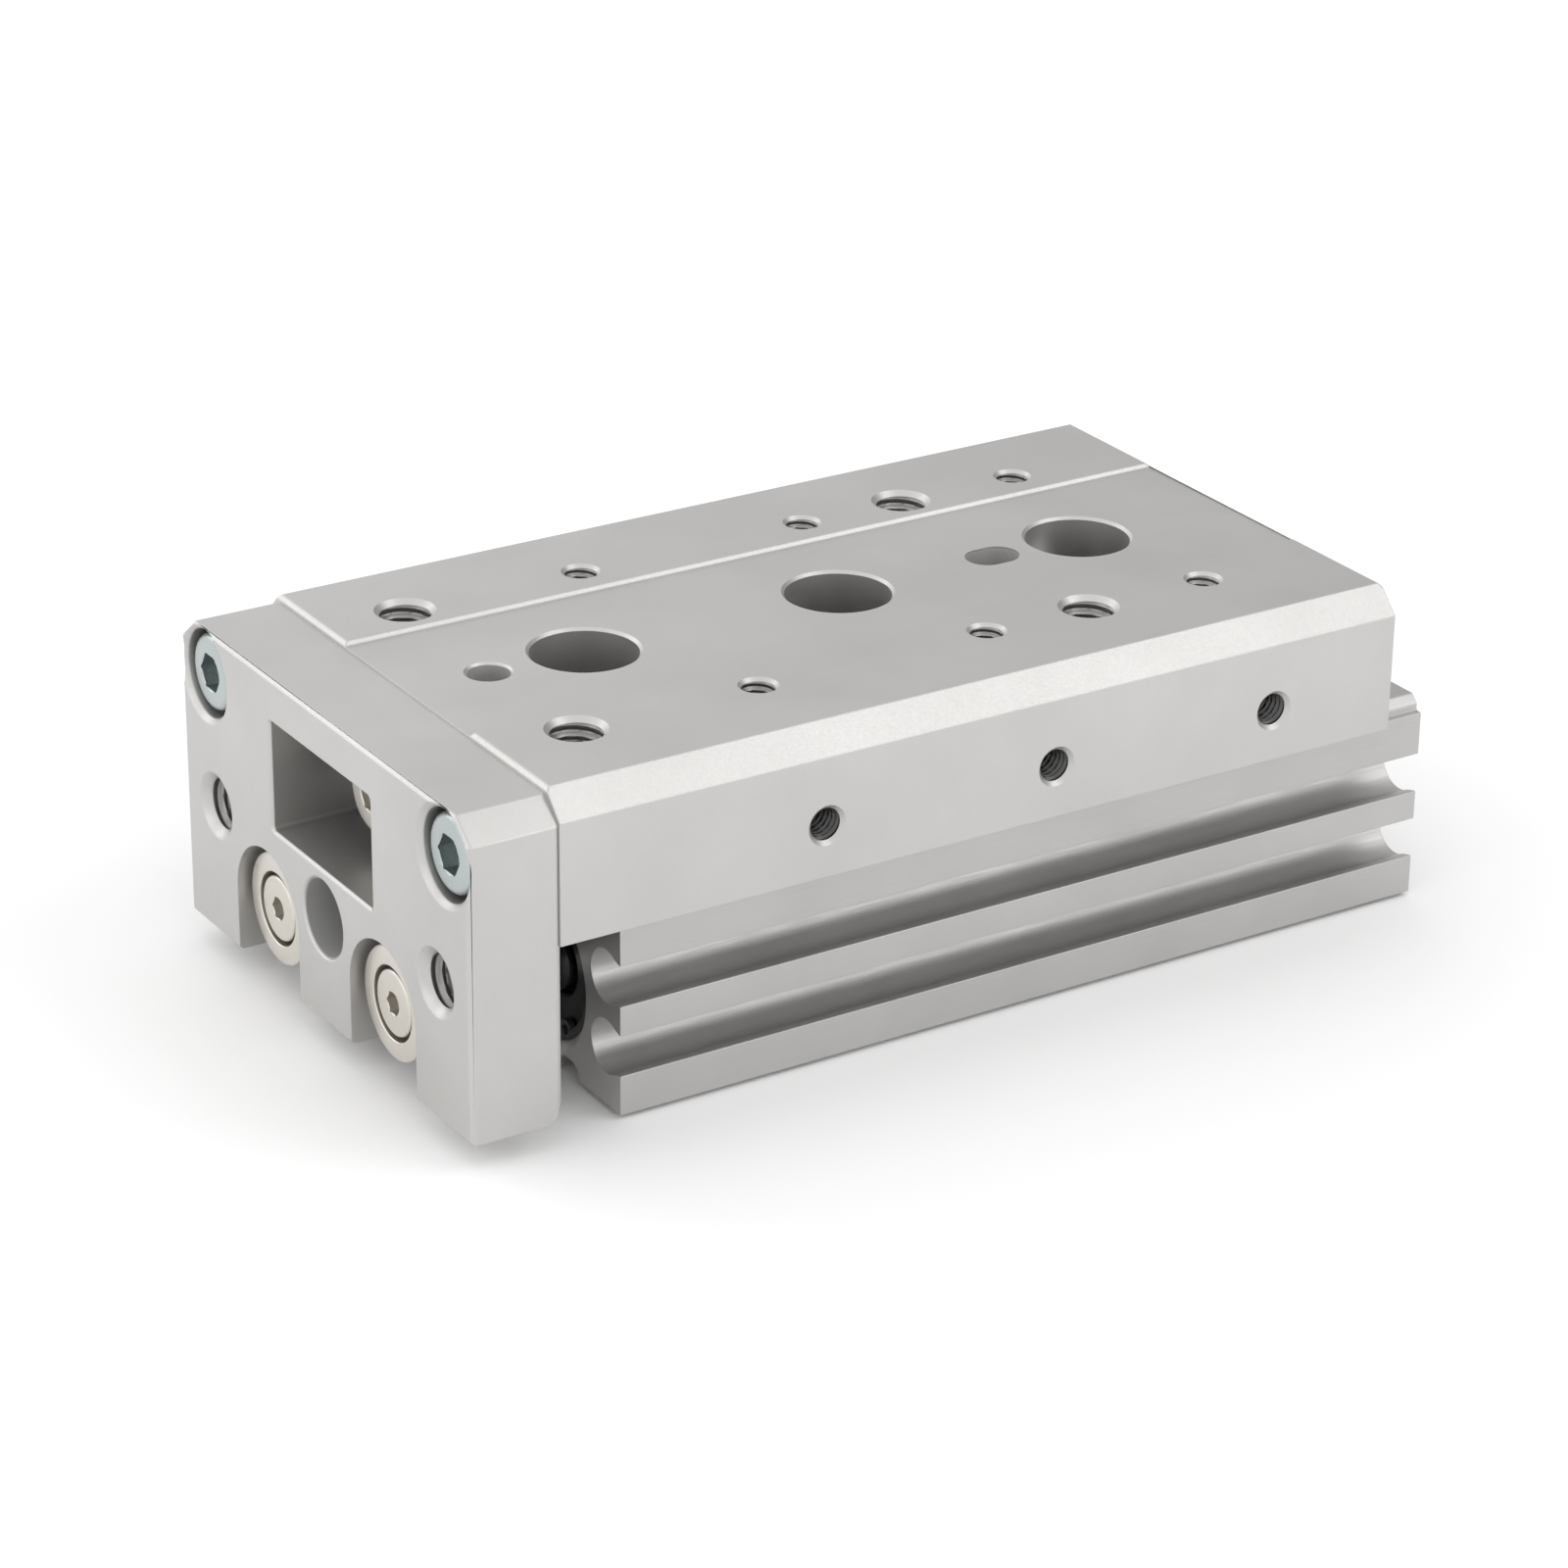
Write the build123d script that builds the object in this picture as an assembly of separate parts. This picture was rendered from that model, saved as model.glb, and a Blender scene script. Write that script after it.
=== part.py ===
from build123d import *
import os
from math import cos, pi, radians, sin, sqrt, tan

# Twin-rod pneumatic slide table with a recirculating-ball guide, in millimetres.
# +X is the way the table extends, +Y the side with the side threads, +Z up.
# The origin is under the middle of the retracted unit, on the mounting face.

# Driving sizes of the whole unit
TABLE_WIDTH = 40.0
TABLE_LENGTH = 66.0
UNIT_HEIGHT = 24.5
BODY_WIDTH = 37.0
BODY_LENGTH = 65.0
TABLE_THICKNESS = 3.5
FRONT_GAP = 5.2
PLATE_THICKNESS = 6.5
STROKE = 30.0

# Clearances and small allowances
CUT = 0.5
SLIDE_CLEAR = 0.3
RUN_CLEAR = 0.03
BALL_CLEAR = 0.06
THREAD_CLEAR = 0.03
HEAD_CLEAR = 0.15
FIT_CLEAR = 0.05
EDGE_BREAK = 0.3

# Table
TABLE_CHAMFER = 1.8
TABLE_CHAMFER_Z = 1.85
RECESS_HALF = 8.5
RECESS_DEPTH = 0.3
LIP_DROP = 0.9
CEILING_CLEAR = 0.6
TABLE_THREAD_Y = 11.5
LARGE_THREAD_R = 2.0
LARGE_THREAD_CORE = 1.65
LARGE_THREAD_MOUTH = 2.15
LARGE_THREAD_DEPTH = 3.5
LARGE_THREAD_PITCH = 40.0
SMALL_THREAD_R = 1.25
SMALL_THREAD_CORE = 1.03
SMALL_THREAD_MOUTH = 1.4
SMALL_THREAD_DEPTH = 3.4
SMALL_THREAD_PITCH = 18.0
FIRST_LARGE = 6.15
FIRST_SMALL = 19.8
SIDE_THREAD_DROP = 6.7
SIDE_THREAD_DEPTH = 4.5
SIDE_THREAD_MOUTH = 1.3
PIN_R = 1.5
PIN_MOUTH = 1.65
TABLE_PIN_DEPTH = 2.2
TABLE_SLOT = 4.0
ACCESS_R = 3.7
ACCESS_MOUTH = 3.9

# Body mounting holes, one row on the centre line
MOUNT_FIRST = 13.4
MOUNT_PITCH = 20.0
MOUNT_COUNT = 3
MOUNT_R = 2.15
MOUNT_SINK_R = 3.75
MOUNT_SINK_DEPTH = 4.6
BODY_PIN_DEPTH = 3.0

# Extruded body section
DECK_CHAMFER = 0.6
DECK_HALF = 17.4
LEDGE_HALF = 18.0
SHOULDER_CLEAR = 0.2
LEDGE_DROP = 0.6
GROOVE_R = 1.9
GROOVE_INSET = 1.8
GROOVE_MOUTH = 2.8
GROOVE_LIP = 0.8
GROOVE_HEIGHTS = (4.3, 9.3)
FOOT_INNER = 13.0
LAND_HALF = 10.6
RELIEF_DEPTH = 1.15
RELIEF_RADIUS = 0.9

# Cylinders
ROD_SPREAD = 0.4405
ROD_Z = 6.5
ROD_R = 2.0
BORE_R = 4.0
POCKET_R = 5.25
BORE_MOUTH = 0.7
ROD_COVER_LENGTH = 10.0
CAP_R = 4.5
CAP_LENGTH = 5.6
RING_SETBACK = 0.8
RING_THICKNESS = 0.6
RING_DEPTH = 0.35
RING_WIDTH = 0.95
BUMPER_PROUD = 1.0
BUMPER_SEAT = 0.4
BUMPER_R = 3.0
ROD_BUMPER = 1.2
ROD_BUMPER_R = 3.4
PISTON_SEAL = 2.5
PISTON_SEAL_ROOT = 2.7
MAGNET_LENGTH = 5.0
MAGNET_R = 3.6
PISTON_NOSE = 4.2
SPIGOT_R = 1.2
SPIGOT_SEAT = 1.0
END_PLAY = 0.1
ORING_R = 0.5
ORING_INSET = 2.2
ORING_SEAT = 1.05
ORING_SEAT_HALF = 0.65
ROD_SEAL_R = 3.1
ROD_SEAL_LENGTH = 2.2
ROD_SEAL_INSET = 0.8
PORT_R = 2.5
PORT_CORE = 2.1
PORT_MOUTH = 2.75
PORT_DEPTH = 4.0
PASSAGE_R = 0.5
PASSAGE_INSET = 0.55

# Ball guide
BALL_R = 1.0
BALL_COUNT = 23
TRACK_Y = 9.3
RETURN_Y = 6.1
TRACK_RISE = 2.6
BLOCK_HALF = 8.9
BLOCK_LENGTH = 19.9
BLOCK_HEIGHT = 5.4
FRONT_COVER = 4.6
REAR_COVER = 3.2
SCRAPER = 0.6
RAIL_THICKNESS = 2.3
RAIL_FACE = 9.7
RAIL_HEIGHT = 4.2
RAIL_INSET = 0.5
COVER_HALF = 9.4
COVER_LIFT = 0.2
RETAINER_R = 1.03
RETAINER_OUT = 9.6
RETAINER_HALF = 1.6
BLOCK_SCREW_Y = 3.4
BLOCK_SCREW_FRONT = 2.15
BLOCK_SCREW_REAR = 5.0
BLOCK_SINK = 1.5
COVER_SCREW_RISE = 2.5

# End plate
PLATE_DROP = 0.5
PLATE_BOTTOM = 1.7
PLATE_CHAMFER_Y = 1.9
PLATE_CHAMFER_Z = 1.55
WINDOW_WIDTH = 14.1
WINDOW_HEIGHT = 7.9
WINDOW_RISE = 1.9
WINDOW_CORNER = 0.3
NOTCH_HALF = 4.5
WEB_THICKNESS = 2.4
BUSH_R = 4.05
BUSH_RECESS = 1.0
BUSH_SLEEVE_R = 2.4
BUSH_SINK_R = 2.63
BUSH_SINK = 1.8
SLOT_HALF = 2.6
HEEL_RADIUS = 1.2
PLATE_REAR_BREAK = 0.4
WASHER_R = 3.7
WASHER_THICKNESS = 1.0
FLOAT_PLAY = 0.05
PLATE_THREAD_Y = 15.5
PLATE_THREAD_DROP = 13.1
PLATE_THREAD_MOUTH = 2.4
CENTRE_HOLE_R = 2.75
CENTRE_MOUTH = 2.9
CENTRE_HOLE_RISE = 2.9
PLATE_SCREW_Y = 16.65
PLATE_SCREW_DROP = 3.86
PLATE_SINK_R = 3.1
PLATE_SINK_MOUTH = 3.5
PLATE_SCREW_RECESS = 0.5

# Screws as shank radius, head radius, head height, socket width and socket depth
M3_CAP = (1.5, 2.75, 3.0, 2.5, 1.5)
M25_ROD = (1.25, 2.3, 1.5, 1.5, 0.9)
M2_LOW = (1.0, 1.75, 1.3, 1.3, 0.7)
M16_LOW = (0.8, 1.5, 0.9, 0.9, 0.5)
PLATE_SCREW_LENGTH = 10.0
COVER_SCREW_LENGTH = 8.5
REAR_SCREW_LENGTH = 6.5
REAR_SCREW_Y = 3.2
BLOCK_SCREW_LENGTH = 7.5
ROD_SCREW_LENGTH = 10.0

# Stations along the stroke, from the front of the end plate to the rear of the body
X_FRONT = (PLATE_THICKNESS + FRONT_GAP + BODY_LENGTH) / 2
X_JOINT = X_FRONT - PLATE_THICKNESS
BODY_FRONT = X_JOINT - FRONT_GAP
BODY_REAR = BODY_FRONT - BODY_LENGTH
TABLE_REAR = X_JOINT - TABLE_LENGTH
MOUNT_X = [X_JOINT - MOUNT_FIRST - MOUNT_PITCH * i for i in range(MOUNT_COUNT)]
SMALL_X = [X_JOINT - FIRST_SMALL - SMALL_THREAD_PITCH * i for i in range(3)]
LARGE_X = [X_JOINT - FIRST_LARGE - LARGE_THREAD_PITCH * i for i in range(2)]

# Heights, stacked down from the top of the table
RECESS_Z = UNIT_HEIGHT - RECESS_DEPTH
PLATE_TOP = UNIT_HEIGHT - PLATE_DROP
CEILING_Z = UNIT_HEIGHT - TABLE_THICKNESS
BLOCK_TOP = CEILING_Z - CEILING_CLEAR
DECK_HEIGHT = BLOCK_TOP - BLOCK_HEIGHT
SKIRT_Z = DECK_HEIGHT + SLIDE_CLEAR
LIP_BOTTOM = DECK_HEIGHT - LIP_DROP
TRACK_Z = DECK_HEIGHT + TRACK_RISE
COVER_SCREW_Z = DECK_HEIGHT + COVER_SCREW_RISE
WINDOW_MIDDLE = DECK_HEIGHT + WINDOW_RISE
CENTRE_HOLE_Z = ROD_Z + CENTRE_HOLE_RISE
SHOULDER_Z = LIP_BOTTOM - SHOULDER_CLEAR
RAIL_TOP = TRACK_Z + RAIL_HEIGHT / 2
RAIL_BACK = RAIL_FACE + RAIL_THICKNESS
HALF_TABLE = TABLE_WIDTH / 2
HALF_BODY = BODY_WIDTH / 2
ROD_Y = ROD_SPREAD * HALF_BODY
GROOVE_Y = HALF_BODY - GROOVE_INSET

# Stations inside the cylinders
RING_FRONT = BODY_FRONT - RING_SETBACK
COVER_FRONT = RING_FRONT - RING_THICKNESS
COVER_INNER = COVER_FRONT - ROD_COVER_LENGTH
RING_REAR = BODY_REAR + RING_SETBACK
CAP_REAR = RING_REAR + RING_THICKNESS
CAP_INNER = CAP_REAR + CAP_LENGTH
PISTON_REAR = CAP_INNER + BUMPER_PROUD + END_PLAY
PISTON_FRONT = COVER_INNER - STROKE - ROD_BUMPER - END_PLAY
ROD_FRONT = X_JOINT - WASHER_THICKNESS - FLOAT_PLAY
ROD_REAR = PISTON_REAR + 0.3
MAGNET_FRONT = PISTON_FRONT - PISTON_NOSE
MAGNET_REAR = MAGNET_FRONT - MAGNET_LENGTH
SEAL_FRONT = (MAGNET_REAR + PISTON_REAR + PISTON_SEAL) / 2
SEAL_REAR = SEAL_FRONT - PISTON_SEAL
PORT_X = (COVER_INNER - PASSAGE_INSET, CAP_INNER + PASSAGE_INSET)

# Stations of the rod joints in the end plate
WEB_FRONT = X_JOINT + WEB_THICKNESS
BUSH_REAR = X_JOINT - FLOAT_PLAY
BUSH_SHOULDER = WEB_FRONT + FLOAT_PLAY
BUSH_FRONT = X_FRONT - BUSH_RECESS
ROD_SCREW_SEAT = BUSH_FRONT - BUSH_SINK
PLATE_SCREW_SEAT = X_FRONT - PLATE_SCREW_RECESS - M3_CAP[2]
PLATE_SCREW_Z = UNIT_HEIGHT - PLATE_SCREW_DROP

# Stations of the guide
UNIT_FRONT = X_JOINT - SLIDE_CLEAR
FRONT_COVER_X = UNIT_FRONT - SCRAPER
BLOCK_FRONT = FRONT_COVER_X - FRONT_COVER
BLOCK_REAR = BLOCK_FRONT - BLOCK_LENGTH
REAR_COVER_X = BLOCK_REAR - REAR_COVER
UNIT_REAR = REAR_COVER_X - SCRAPER
TURN_R = (TRACK_Y - RETURN_Y) / 2
TURN_Y = (TRACK_Y + RETURN_Y) / 2
TUNNEL_R = BALL_R + BALL_CLEAR
BLOCK_SCREW_X = (BLOCK_FRONT - BLOCK_SCREW_FRONT, BLOCK_REAR + BLOCK_SCREW_REAR)
BLOCK_SCREW_SEAT = BLOCK_TOP - BLOCK_SINK
BLOCK_SCREW_AT = [(x, y) for x in BLOCK_SCREW_X for y in (BLOCK_SCREW_Y, -BLOCK_SCREW_Y)]
REAR_SCREW_AT = [(REAR_SCREW_Y, TRACK_Z), (-REAR_SCREW_Y, TRACK_Z)]

SIDES = (("near", 1), ("far", -1))

# Tapped holes as radius, core radius, depth and mouth radius
LARGE_THREAD = (LARGE_THREAD_R, LARGE_THREAD_CORE, LARGE_THREAD_DEPTH, LARGE_THREAD_MOUTH)
SMALL_THREAD = (SMALL_THREAD_R, SMALL_THREAD_CORE, SMALL_THREAD_DEPTH, SMALL_THREAD_MOUTH)
SIDE_THREAD = (SMALL_THREAD_R, SMALL_THREAD_CORE, SIDE_THREAD_DEPTH, SIDE_THREAD_MOUTH)


# Shapes that the pieces share
def block(x, y, z):
    """A box given as low and high on each axis."""
    size = (x[1] - x[0], y[1] - y[0], z[1] - z[0])
    middle = ((x[0] + x[1]) / 2, (y[0] + y[1]) / 2, (z[0] + z[1]) / 2)
    return Pos(*middle) * Box(*size)


def bar_x(x, y, z, radius):
    """A round bar along X between the two stations."""
    return Pos((x[0] + x[1]) / 2, y, z) * Rot(0, 90, 0) * Cylinder(radius, abs(x[1] - x[0]))


def prism_x(face, x):
    """A section drawn in Y and Z, extruded from x[0] to x[1]."""
    return extrude(Plane.YZ.offset(x[0]) * face, amount=x[1] - x[0])


def mirrored_section(half):
    """A closed section from the points of its +Y half, listed from top to bottom."""
    other = [(-y, z) for y, z in reversed(half)]
    return make_face(Polyline(*half, *other, close=True))


def turned(points, y=0.0, z=0.0):
    """A turned piece along X from (x, radius) points, with its axis at y and z."""
    return Pos(0, y, z) * revolve(make_face(Polyline(*points, close=True)), Axis.X, 360)


def ring_x(x, y, z, outer, inner):
    """A plain ring along X."""
    return turned([(x[0], inner), (x[0], outer), (x[1], outer), (x[1], inner)], y, z)


def hole(at, out, radius, depth, mouth=None, drilled=True):
    """The cutter of a round hole with an optional bevelled mouth; out points out of it."""
    tip = depth + (radius * tan(radians(31)) if drilled else 0.0)
    half = [(0, CUT), (radius, CUT), (radius, -depth), (0, -tip)]
    if mouth is not None:
        half[1:2] = [(mouth + CUT, CUT), (radius, radius - mouth)]
    cutter = revolve(Plane.XZ * make_face(Polyline(*half, close=True)), Axis.Z, 360)
    return Plane(origin=at, z_dir=out) * cutter


def tapped(at, out, radius, core, depth, mouth):
    """The cutter of a tapped hole at its nominal radius, ending in the drill's core."""
    tip = depth + radius - core + core * tan(radians(31))
    half = [(0, CUT), (mouth + CUT, CUT), (radius, radius - mouth), (radius, -depth)]
    half += [(core, core - radius - depth), (0, -tip)]
    cutter = revolve(Plane.XZ * make_face(Polyline(*half, close=True)), Axis.Z, 360)
    return Plane(origin=at, z_dir=out) * cutter


def screw(at, out, size, length, crown=0.12):
    """A socket screw with its head seat at the given point; out points out of the head."""
    shank, head, height, socket, depth = size
    soft = height * crown
    half = [(0, height), (head - soft, height), (head, height - soft), (head, 0)]
    half += [(shank, 0), (shank, 0.25 - length), (shank - 0.25, -length), (0, -length)]
    piece = revolve(Plane.XZ * make_face(Polyline(*half, close=True)), Axis.Z, 360)
    hexagon = Plane.XY.offset(height - depth) * RegularPolygon(socket / sqrt(3), 6)
    return Plane(origin=at, z_dir=out) * (piece - extrude(hexagon, amount=depth + CUT))


def bar_y(x, y, z, radius):
    """A round bar along Y between y[0] and y[1]."""
    return Pos(x, (y[0] + y[1]) / 2, z) * Rot(90, 0, 0) * Cylinder(radius, y[1] - y[0])


def edge_cut(x, z, run, drop, half):
    """A wedge across the width that breaks an upper edge at x; run points outwards."""
    corner = [(x - run, z), (x - run, z + CUT), (x + run, z + CUT), (x + run, z - 2 * drop)]
    return extrude(Plane.XZ * make_face(Polyline(*corner, close=True)), half, both=True)


def slot_z(x, y, z, radius, length, depth):
    """A slot along X sunk downwards from z."""
    face = Plane.XY.offset(z + CUT) * Pos(x, y) * SlotOverall(length, 2 * radius)
    return extrude(face, amount=-depth - CUT)


def group(pieces):
    """Separate solids that share one node."""
    return Compound(children=list(pieces))


def write(name, shape):
    """Writes one node."""
    export_step(shape, f"parts/{name}.step")


# Extruded body with its two bores, sensor grooves and ports
def body_section():
    """The extruded outline with the ledges, the underside reliefs and the grooves."""
    low = (LAND_HALF, FOOT_INNER)
    half = [
        (DECK_HALF, DECK_HEIGHT),
        (LEDGE_HALF, DECK_HEIGHT - LEDGE_DROP),
        (LEDGE_HALF, SHOULDER_Z),
        (HALF_BODY, SHOULDER_Z),
        (HALF_BODY, 0),
        (low[1], 0),
        (low[1], RELIEF_DEPTH),
        (low[0], RELIEF_DEPTH),
        (low[0], 0),
    ]
    section = mirrored_section(half)
    inner = [v for v in section.vertices() if abs(v.Y - RELIEF_DEPTH) < 0.01]
    section = fillet(inner, RELIEF_RADIUS)
    lip = GROOVE_INSET - GROOVE_LIP
    wide, narrow = sqrt(GROOVE_R**2 - lip**2), GROOVE_MOUTH / 2
    throat = [(lip, wide), (GROOVE_INSET, narrow), (GROOVE_INSET + CUT, narrow)]
    throat += [(y, -z) for y, z in reversed(throat)]
    for z in GROOVE_HEIGHTS:
        section -= Pos(GROOVE_Y, z) * Circle(GROOVE_R)
        section -= Pos(GROOVE_Y, z) * make_face(Polyline((0, wide), *throat, (0, -wide), close=True))
    return section


def cylinder_body():
    """The body of the unit, open for the cylinders, the screws and the pins."""
    piece = prism_x(body_section(), (BODY_REAR, BODY_FRONT))
    for _, side in SIDES:
        y = side * ROD_Y
        piece -= bar_x((CAP_INNER - CUT, COVER_INNER + CUT), y, ROD_Z, BORE_R)
        piece -= bar_x((COVER_INNER, BODY_FRONT + CUT), y, ROD_Z, POCKET_R)
        piece -= bar_x((BODY_REAR - CUT, CAP_INNER), y, ROD_Z, CAP_R)
        piece -= bar_x((COVER_FRONT, RING_FRONT), y, ROD_Z, POCKET_R + RING_DEPTH)
        piece -= bar_x((RING_REAR, CAP_REAR), y, ROD_Z, CAP_R + RING_DEPTH)
        for face, out, radius in ((BODY_FRONT, 1, POCKET_R), (BODY_REAR, -1, CAP_R)):
            wide = radius + BORE_MOUTH
            cone = [(face + out * CUT, 0), (face + out * CUT, wide + CUT)]
            cone += [(face - out * BORE_MOUTH, radius), (face - out * BORE_MOUTH, 0)]
            piece -= turned(cone, y, ROD_Z)
    for x in MOUNT_X:
        piece -= hole((x, 0, DECK_HEIGHT), (0, 0, 1), MOUNT_SINK_R, MOUNT_SINK_DEPTH, None, False)
        piece -= hole((x, 0, 0), (0, 0, -1), MOUNT_R, DECK_HEIGHT, MOUNT_R + EDGE_BREAK, False)
    pin_x, slot_x = [(a + b) / 2 for a, b in zip(MOUNT_X, MOUNT_X[1:])]
    piece -= hole((pin_x, 0, 0), (0, 0, -1), PIN_R, BODY_PIN_DEPTH, PIN_MOUTH, False)
    piece -= Rot(180, 0, 0) * slot_z(slot_x, 0, 0, PIN_R, TABLE_SLOT, BODY_PIN_DEPTH)
    for x, y in BLOCK_SCREW_AT:
        depth = DECK_HEIGHT - BLOCK_SCREW_SEAT + BLOCK_SCREW_LENGTH + CUT
        piece -= hole((x, y, DECK_HEIGHT), (0, 0, 1), M2_LOW[0] + THREAD_CLEAR, depth)
    for x in PORT_X:
        port = (x, -HALF_BODY, ROD_Z)
        piece -= tapped(port, (0, -1, 0), PORT_R, PORT_CORE, PORT_DEPTH, PORT_MOUTH)
        piece -= bar_y(x, (PORT_DEPTH - HALF_BODY, ROD_Y), ROD_Z, PASSAGE_R)
    return piece


# Cylinder ends
def oring(x, y, reach):
    """A round-section seal ring whose outside lies at the given radius."""
    return Pos(x, y, ROD_Z) * Rot(0, 90, 0) * Torus(reach - ORING_R, ORING_R)


def retaining_ring(x, y, outer):
    """An internal circlip with an open gap and two eared ends."""
    ring = Circle(outer) - Circle(outer - RING_WIDTH)
    gap = Pos(0, -outer) * Rectangle(2.2, 2 * outer - 2)
    ring -= gap
    ear_y = -(outer - RING_WIDTH - 0.35)
    for side in (1, -1):
        ring += Pos(1.75 * side, ear_y) * Circle(0.75)
        ring -= Pos(1.75 * side, ear_y) * Circle(0.35)
    return Pos(0, y, ROD_Z) * prism_x(ring, x)


def rod_cover(y):
    """The front bush that carries the rod, with grooves for its two seals."""
    outer = POCKET_R - FIT_CLEAR
    inner = ROD_R + RUN_CLEAR
    middle = COVER_FRONT - ROD_COVER_LENGTH / 2
    piece = turned(
        [
            (COVER_INNER, inner),
            (COVER_INNER, outer - EDGE_BREAK),
            (COVER_INNER + EDGE_BREAK, outer),
            (middle - ORING_SEAT_HALF, outer),
            (middle - ORING_SEAT_HALF, outer - ORING_SEAT),
            (middle + ORING_SEAT_HALF, outer - ORING_SEAT),
            (middle + ORING_SEAT_HALF, outer),
            (COVER_FRONT, outer),
            (COVER_FRONT, ROD_SEAL_R - 0.7),
            (COVER_FRONT - ROD_SEAL_INSET, ROD_SEAL_R - 0.7),
            (COVER_FRONT - ROD_SEAL_INSET, ROD_SEAL_R),
            (COVER_FRONT - ROD_SEAL_INSET - ROD_SEAL_LENGTH, ROD_SEAL_R),
            (COVER_FRONT - ROD_SEAL_INSET - ROD_SEAL_LENGTH, inner),
        ],
        y,
        ROD_Z,
    )
    return piece


def rod_seal(y):
    """The lip seal round the rod, open towards the pressure."""
    front = COVER_FRONT - ROD_SEAL_INSET - FIT_CLEAR
    rear = front - ROD_SEAL_LENGTH + 2 * FIT_CLEAR
    outer = ROD_SEAL_R - FIT_CLEAR
    inner = ROD_R + RUN_CLEAR
    valley = (outer + inner) / 2
    return turned(
        [(front, inner + 0.15), (front, outer), (rear, outer), (rear, outer - 0.2)]
        + [(rear + 0.9, valley), (rear, inner + 0.2), (rear, inner)],
        y,
        ROD_Z,
    )


def head_cap(y):
    """The plug at the rear end of a bore with a seat for the rubber bumper."""
    outer = CAP_R - FIT_CLEAR
    groove = CAP_INNER - ORING_INSET
    return turned(
        [
            (CAP_REAR, 0),
            (CAP_REAR, outer),
            (groove - ORING_SEAT_HALF, outer),
            (groove - ORING_SEAT_HALF, outer - ORING_SEAT),
            (groove + ORING_SEAT_HALF, outer - ORING_SEAT),
            (groove + ORING_SEAT_HALF, outer),
            (CAP_INNER - EDGE_BREAK, outer),
            (CAP_INNER, outer - EDGE_BREAK),
            (CAP_INNER, BUMPER_R + FIT_CLEAR),
            (CAP_INNER - BUMPER_SEAT, BUMPER_R + FIT_CLEAR),
            (CAP_INNER - BUMPER_SEAT, 0),
        ],
        y,
        ROD_Z,
    )


def head_bumper(y):
    """The rubber disc that softens the retracted end."""
    front = CAP_INNER + BUMPER_PROUD
    rear = CAP_INNER - BUMPER_SEAT
    points = [(rear, 0), (rear, BUMPER_R), (front - 0.3, BUMPER_R), (front, BUMPER_R - 0.3)]
    return turned(points + [(front, 0)], y, ROD_Z)


# Rods and pistons
def piston_rod(y):
    """The rod with a thread in its front end and a riveted spigot behind."""
    shoulder = PISTON_FRONT - SPIGOT_SEAT
    points = [
        (ROD_REAR, 0),
        (ROD_REAR, SPIGOT_R),
        (shoulder, SPIGOT_R),
        (shoulder, ROD_R),
        (ROD_FRONT - EDGE_BREAK, ROD_R),
        (ROD_FRONT, ROD_R - EDGE_BREAK),
        (ROD_FRONT, 0),
    ]
    depth = ROD_FRONT - ROD_SCREW_SEAT + ROD_SCREW_LENGTH + CUT
    thread = hole((ROD_FRONT, y, ROD_Z), (1, 0, 0), M25_ROD[0] + THREAD_CLEAR, depth)
    return turned(points, y, ROD_Z) - thread


def piston(y):
    """Two aluminium discs on the spigot with the magnet between them."""
    outer = BORE_R - RUN_CLEAR - 0.02
    inner = SPIGOT_R + RUN_CLEAR
    seat = ROD_R + RUN_CLEAR
    nose = [
        (MAGNET_FRONT, inner),
        (MAGNET_FRONT, outer),
        (PISTON_FRONT - EDGE_BREAK, outer),
        (PISTON_FRONT, outer - EDGE_BREAK),
        (PISTON_FRONT, seat),
        (PISTON_FRONT - SPIGOT_SEAT, seat),
        (PISTON_FRONT - SPIGOT_SEAT, inner),
    ]
    tail = [
        (PISTON_REAR, inner),
        (PISTON_REAR, outer - EDGE_BREAK),
        (PISTON_REAR + EDGE_BREAK, outer),
        (SEAL_REAR, outer),
        (SEAL_REAR, PISTON_SEAL_ROOT),
        (SEAL_FRONT, PISTON_SEAL_ROOT),
        (SEAL_FRONT, outer),
        (MAGNET_REAR, outer),
        (MAGNET_REAR, inner),
    ]
    return group([turned(nose, y, ROD_Z), turned(tail, y, ROD_Z)])


def piston_seal(y):
    """The seal in its groove with two running lips."""
    front = SEAL_FRONT - FIT_CLEAR
    rear = SEAL_REAR + FIT_CLEAR
    root = PISTON_SEAL_ROOT + FIT_CLEAR
    outer = BORE_R - RUN_CLEAR
    middle = (front + rear) / 2
    points = [(rear, root), (rear, outer - 0.3), (rear + 0.4, outer), (middle, outer - 0.4)]
    return turned(points + [(front - 0.4, outer), (front, outer - 0.3), (front, root)], y, ROD_Z)


def floating_bush(y):
    """The stepped bush that ties a rod to the end plate and leaves it free sideways."""
    hole_r = M25_ROD[0] + FIT_CLEAR
    return turned(
        [
            (BUSH_REAR, hole_r),
            (BUSH_REAR, BUSH_SLEEVE_R),
            (BUSH_SHOULDER, BUSH_SLEEVE_R),
            (BUSH_SHOULDER, BUSH_R),
            (BUSH_FRONT - 0.25, BUSH_R),
            (BUSH_FRONT, BUSH_R - 0.25),
            (BUSH_FRONT, BUSH_SINK_R),
            (ROD_SCREW_SEAT, BUSH_SINK_R),
            (ROD_SCREW_SEAT, hole_r),
        ],
        y,
        ROD_Z,
    )


# Ball guide on top of the body
def ball_track(side, radius):
    """The closed way of one row of balls as a cutter."""
    cutter = bar_x((BLOCK_REAR, BLOCK_FRONT), side * TRACK_Y, TRACK_Z, radius)
    cutter += bar_x((BLOCK_REAR, BLOCK_FRONT), side * RETURN_Y, TRACK_Z, radius)
    return cutter


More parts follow.
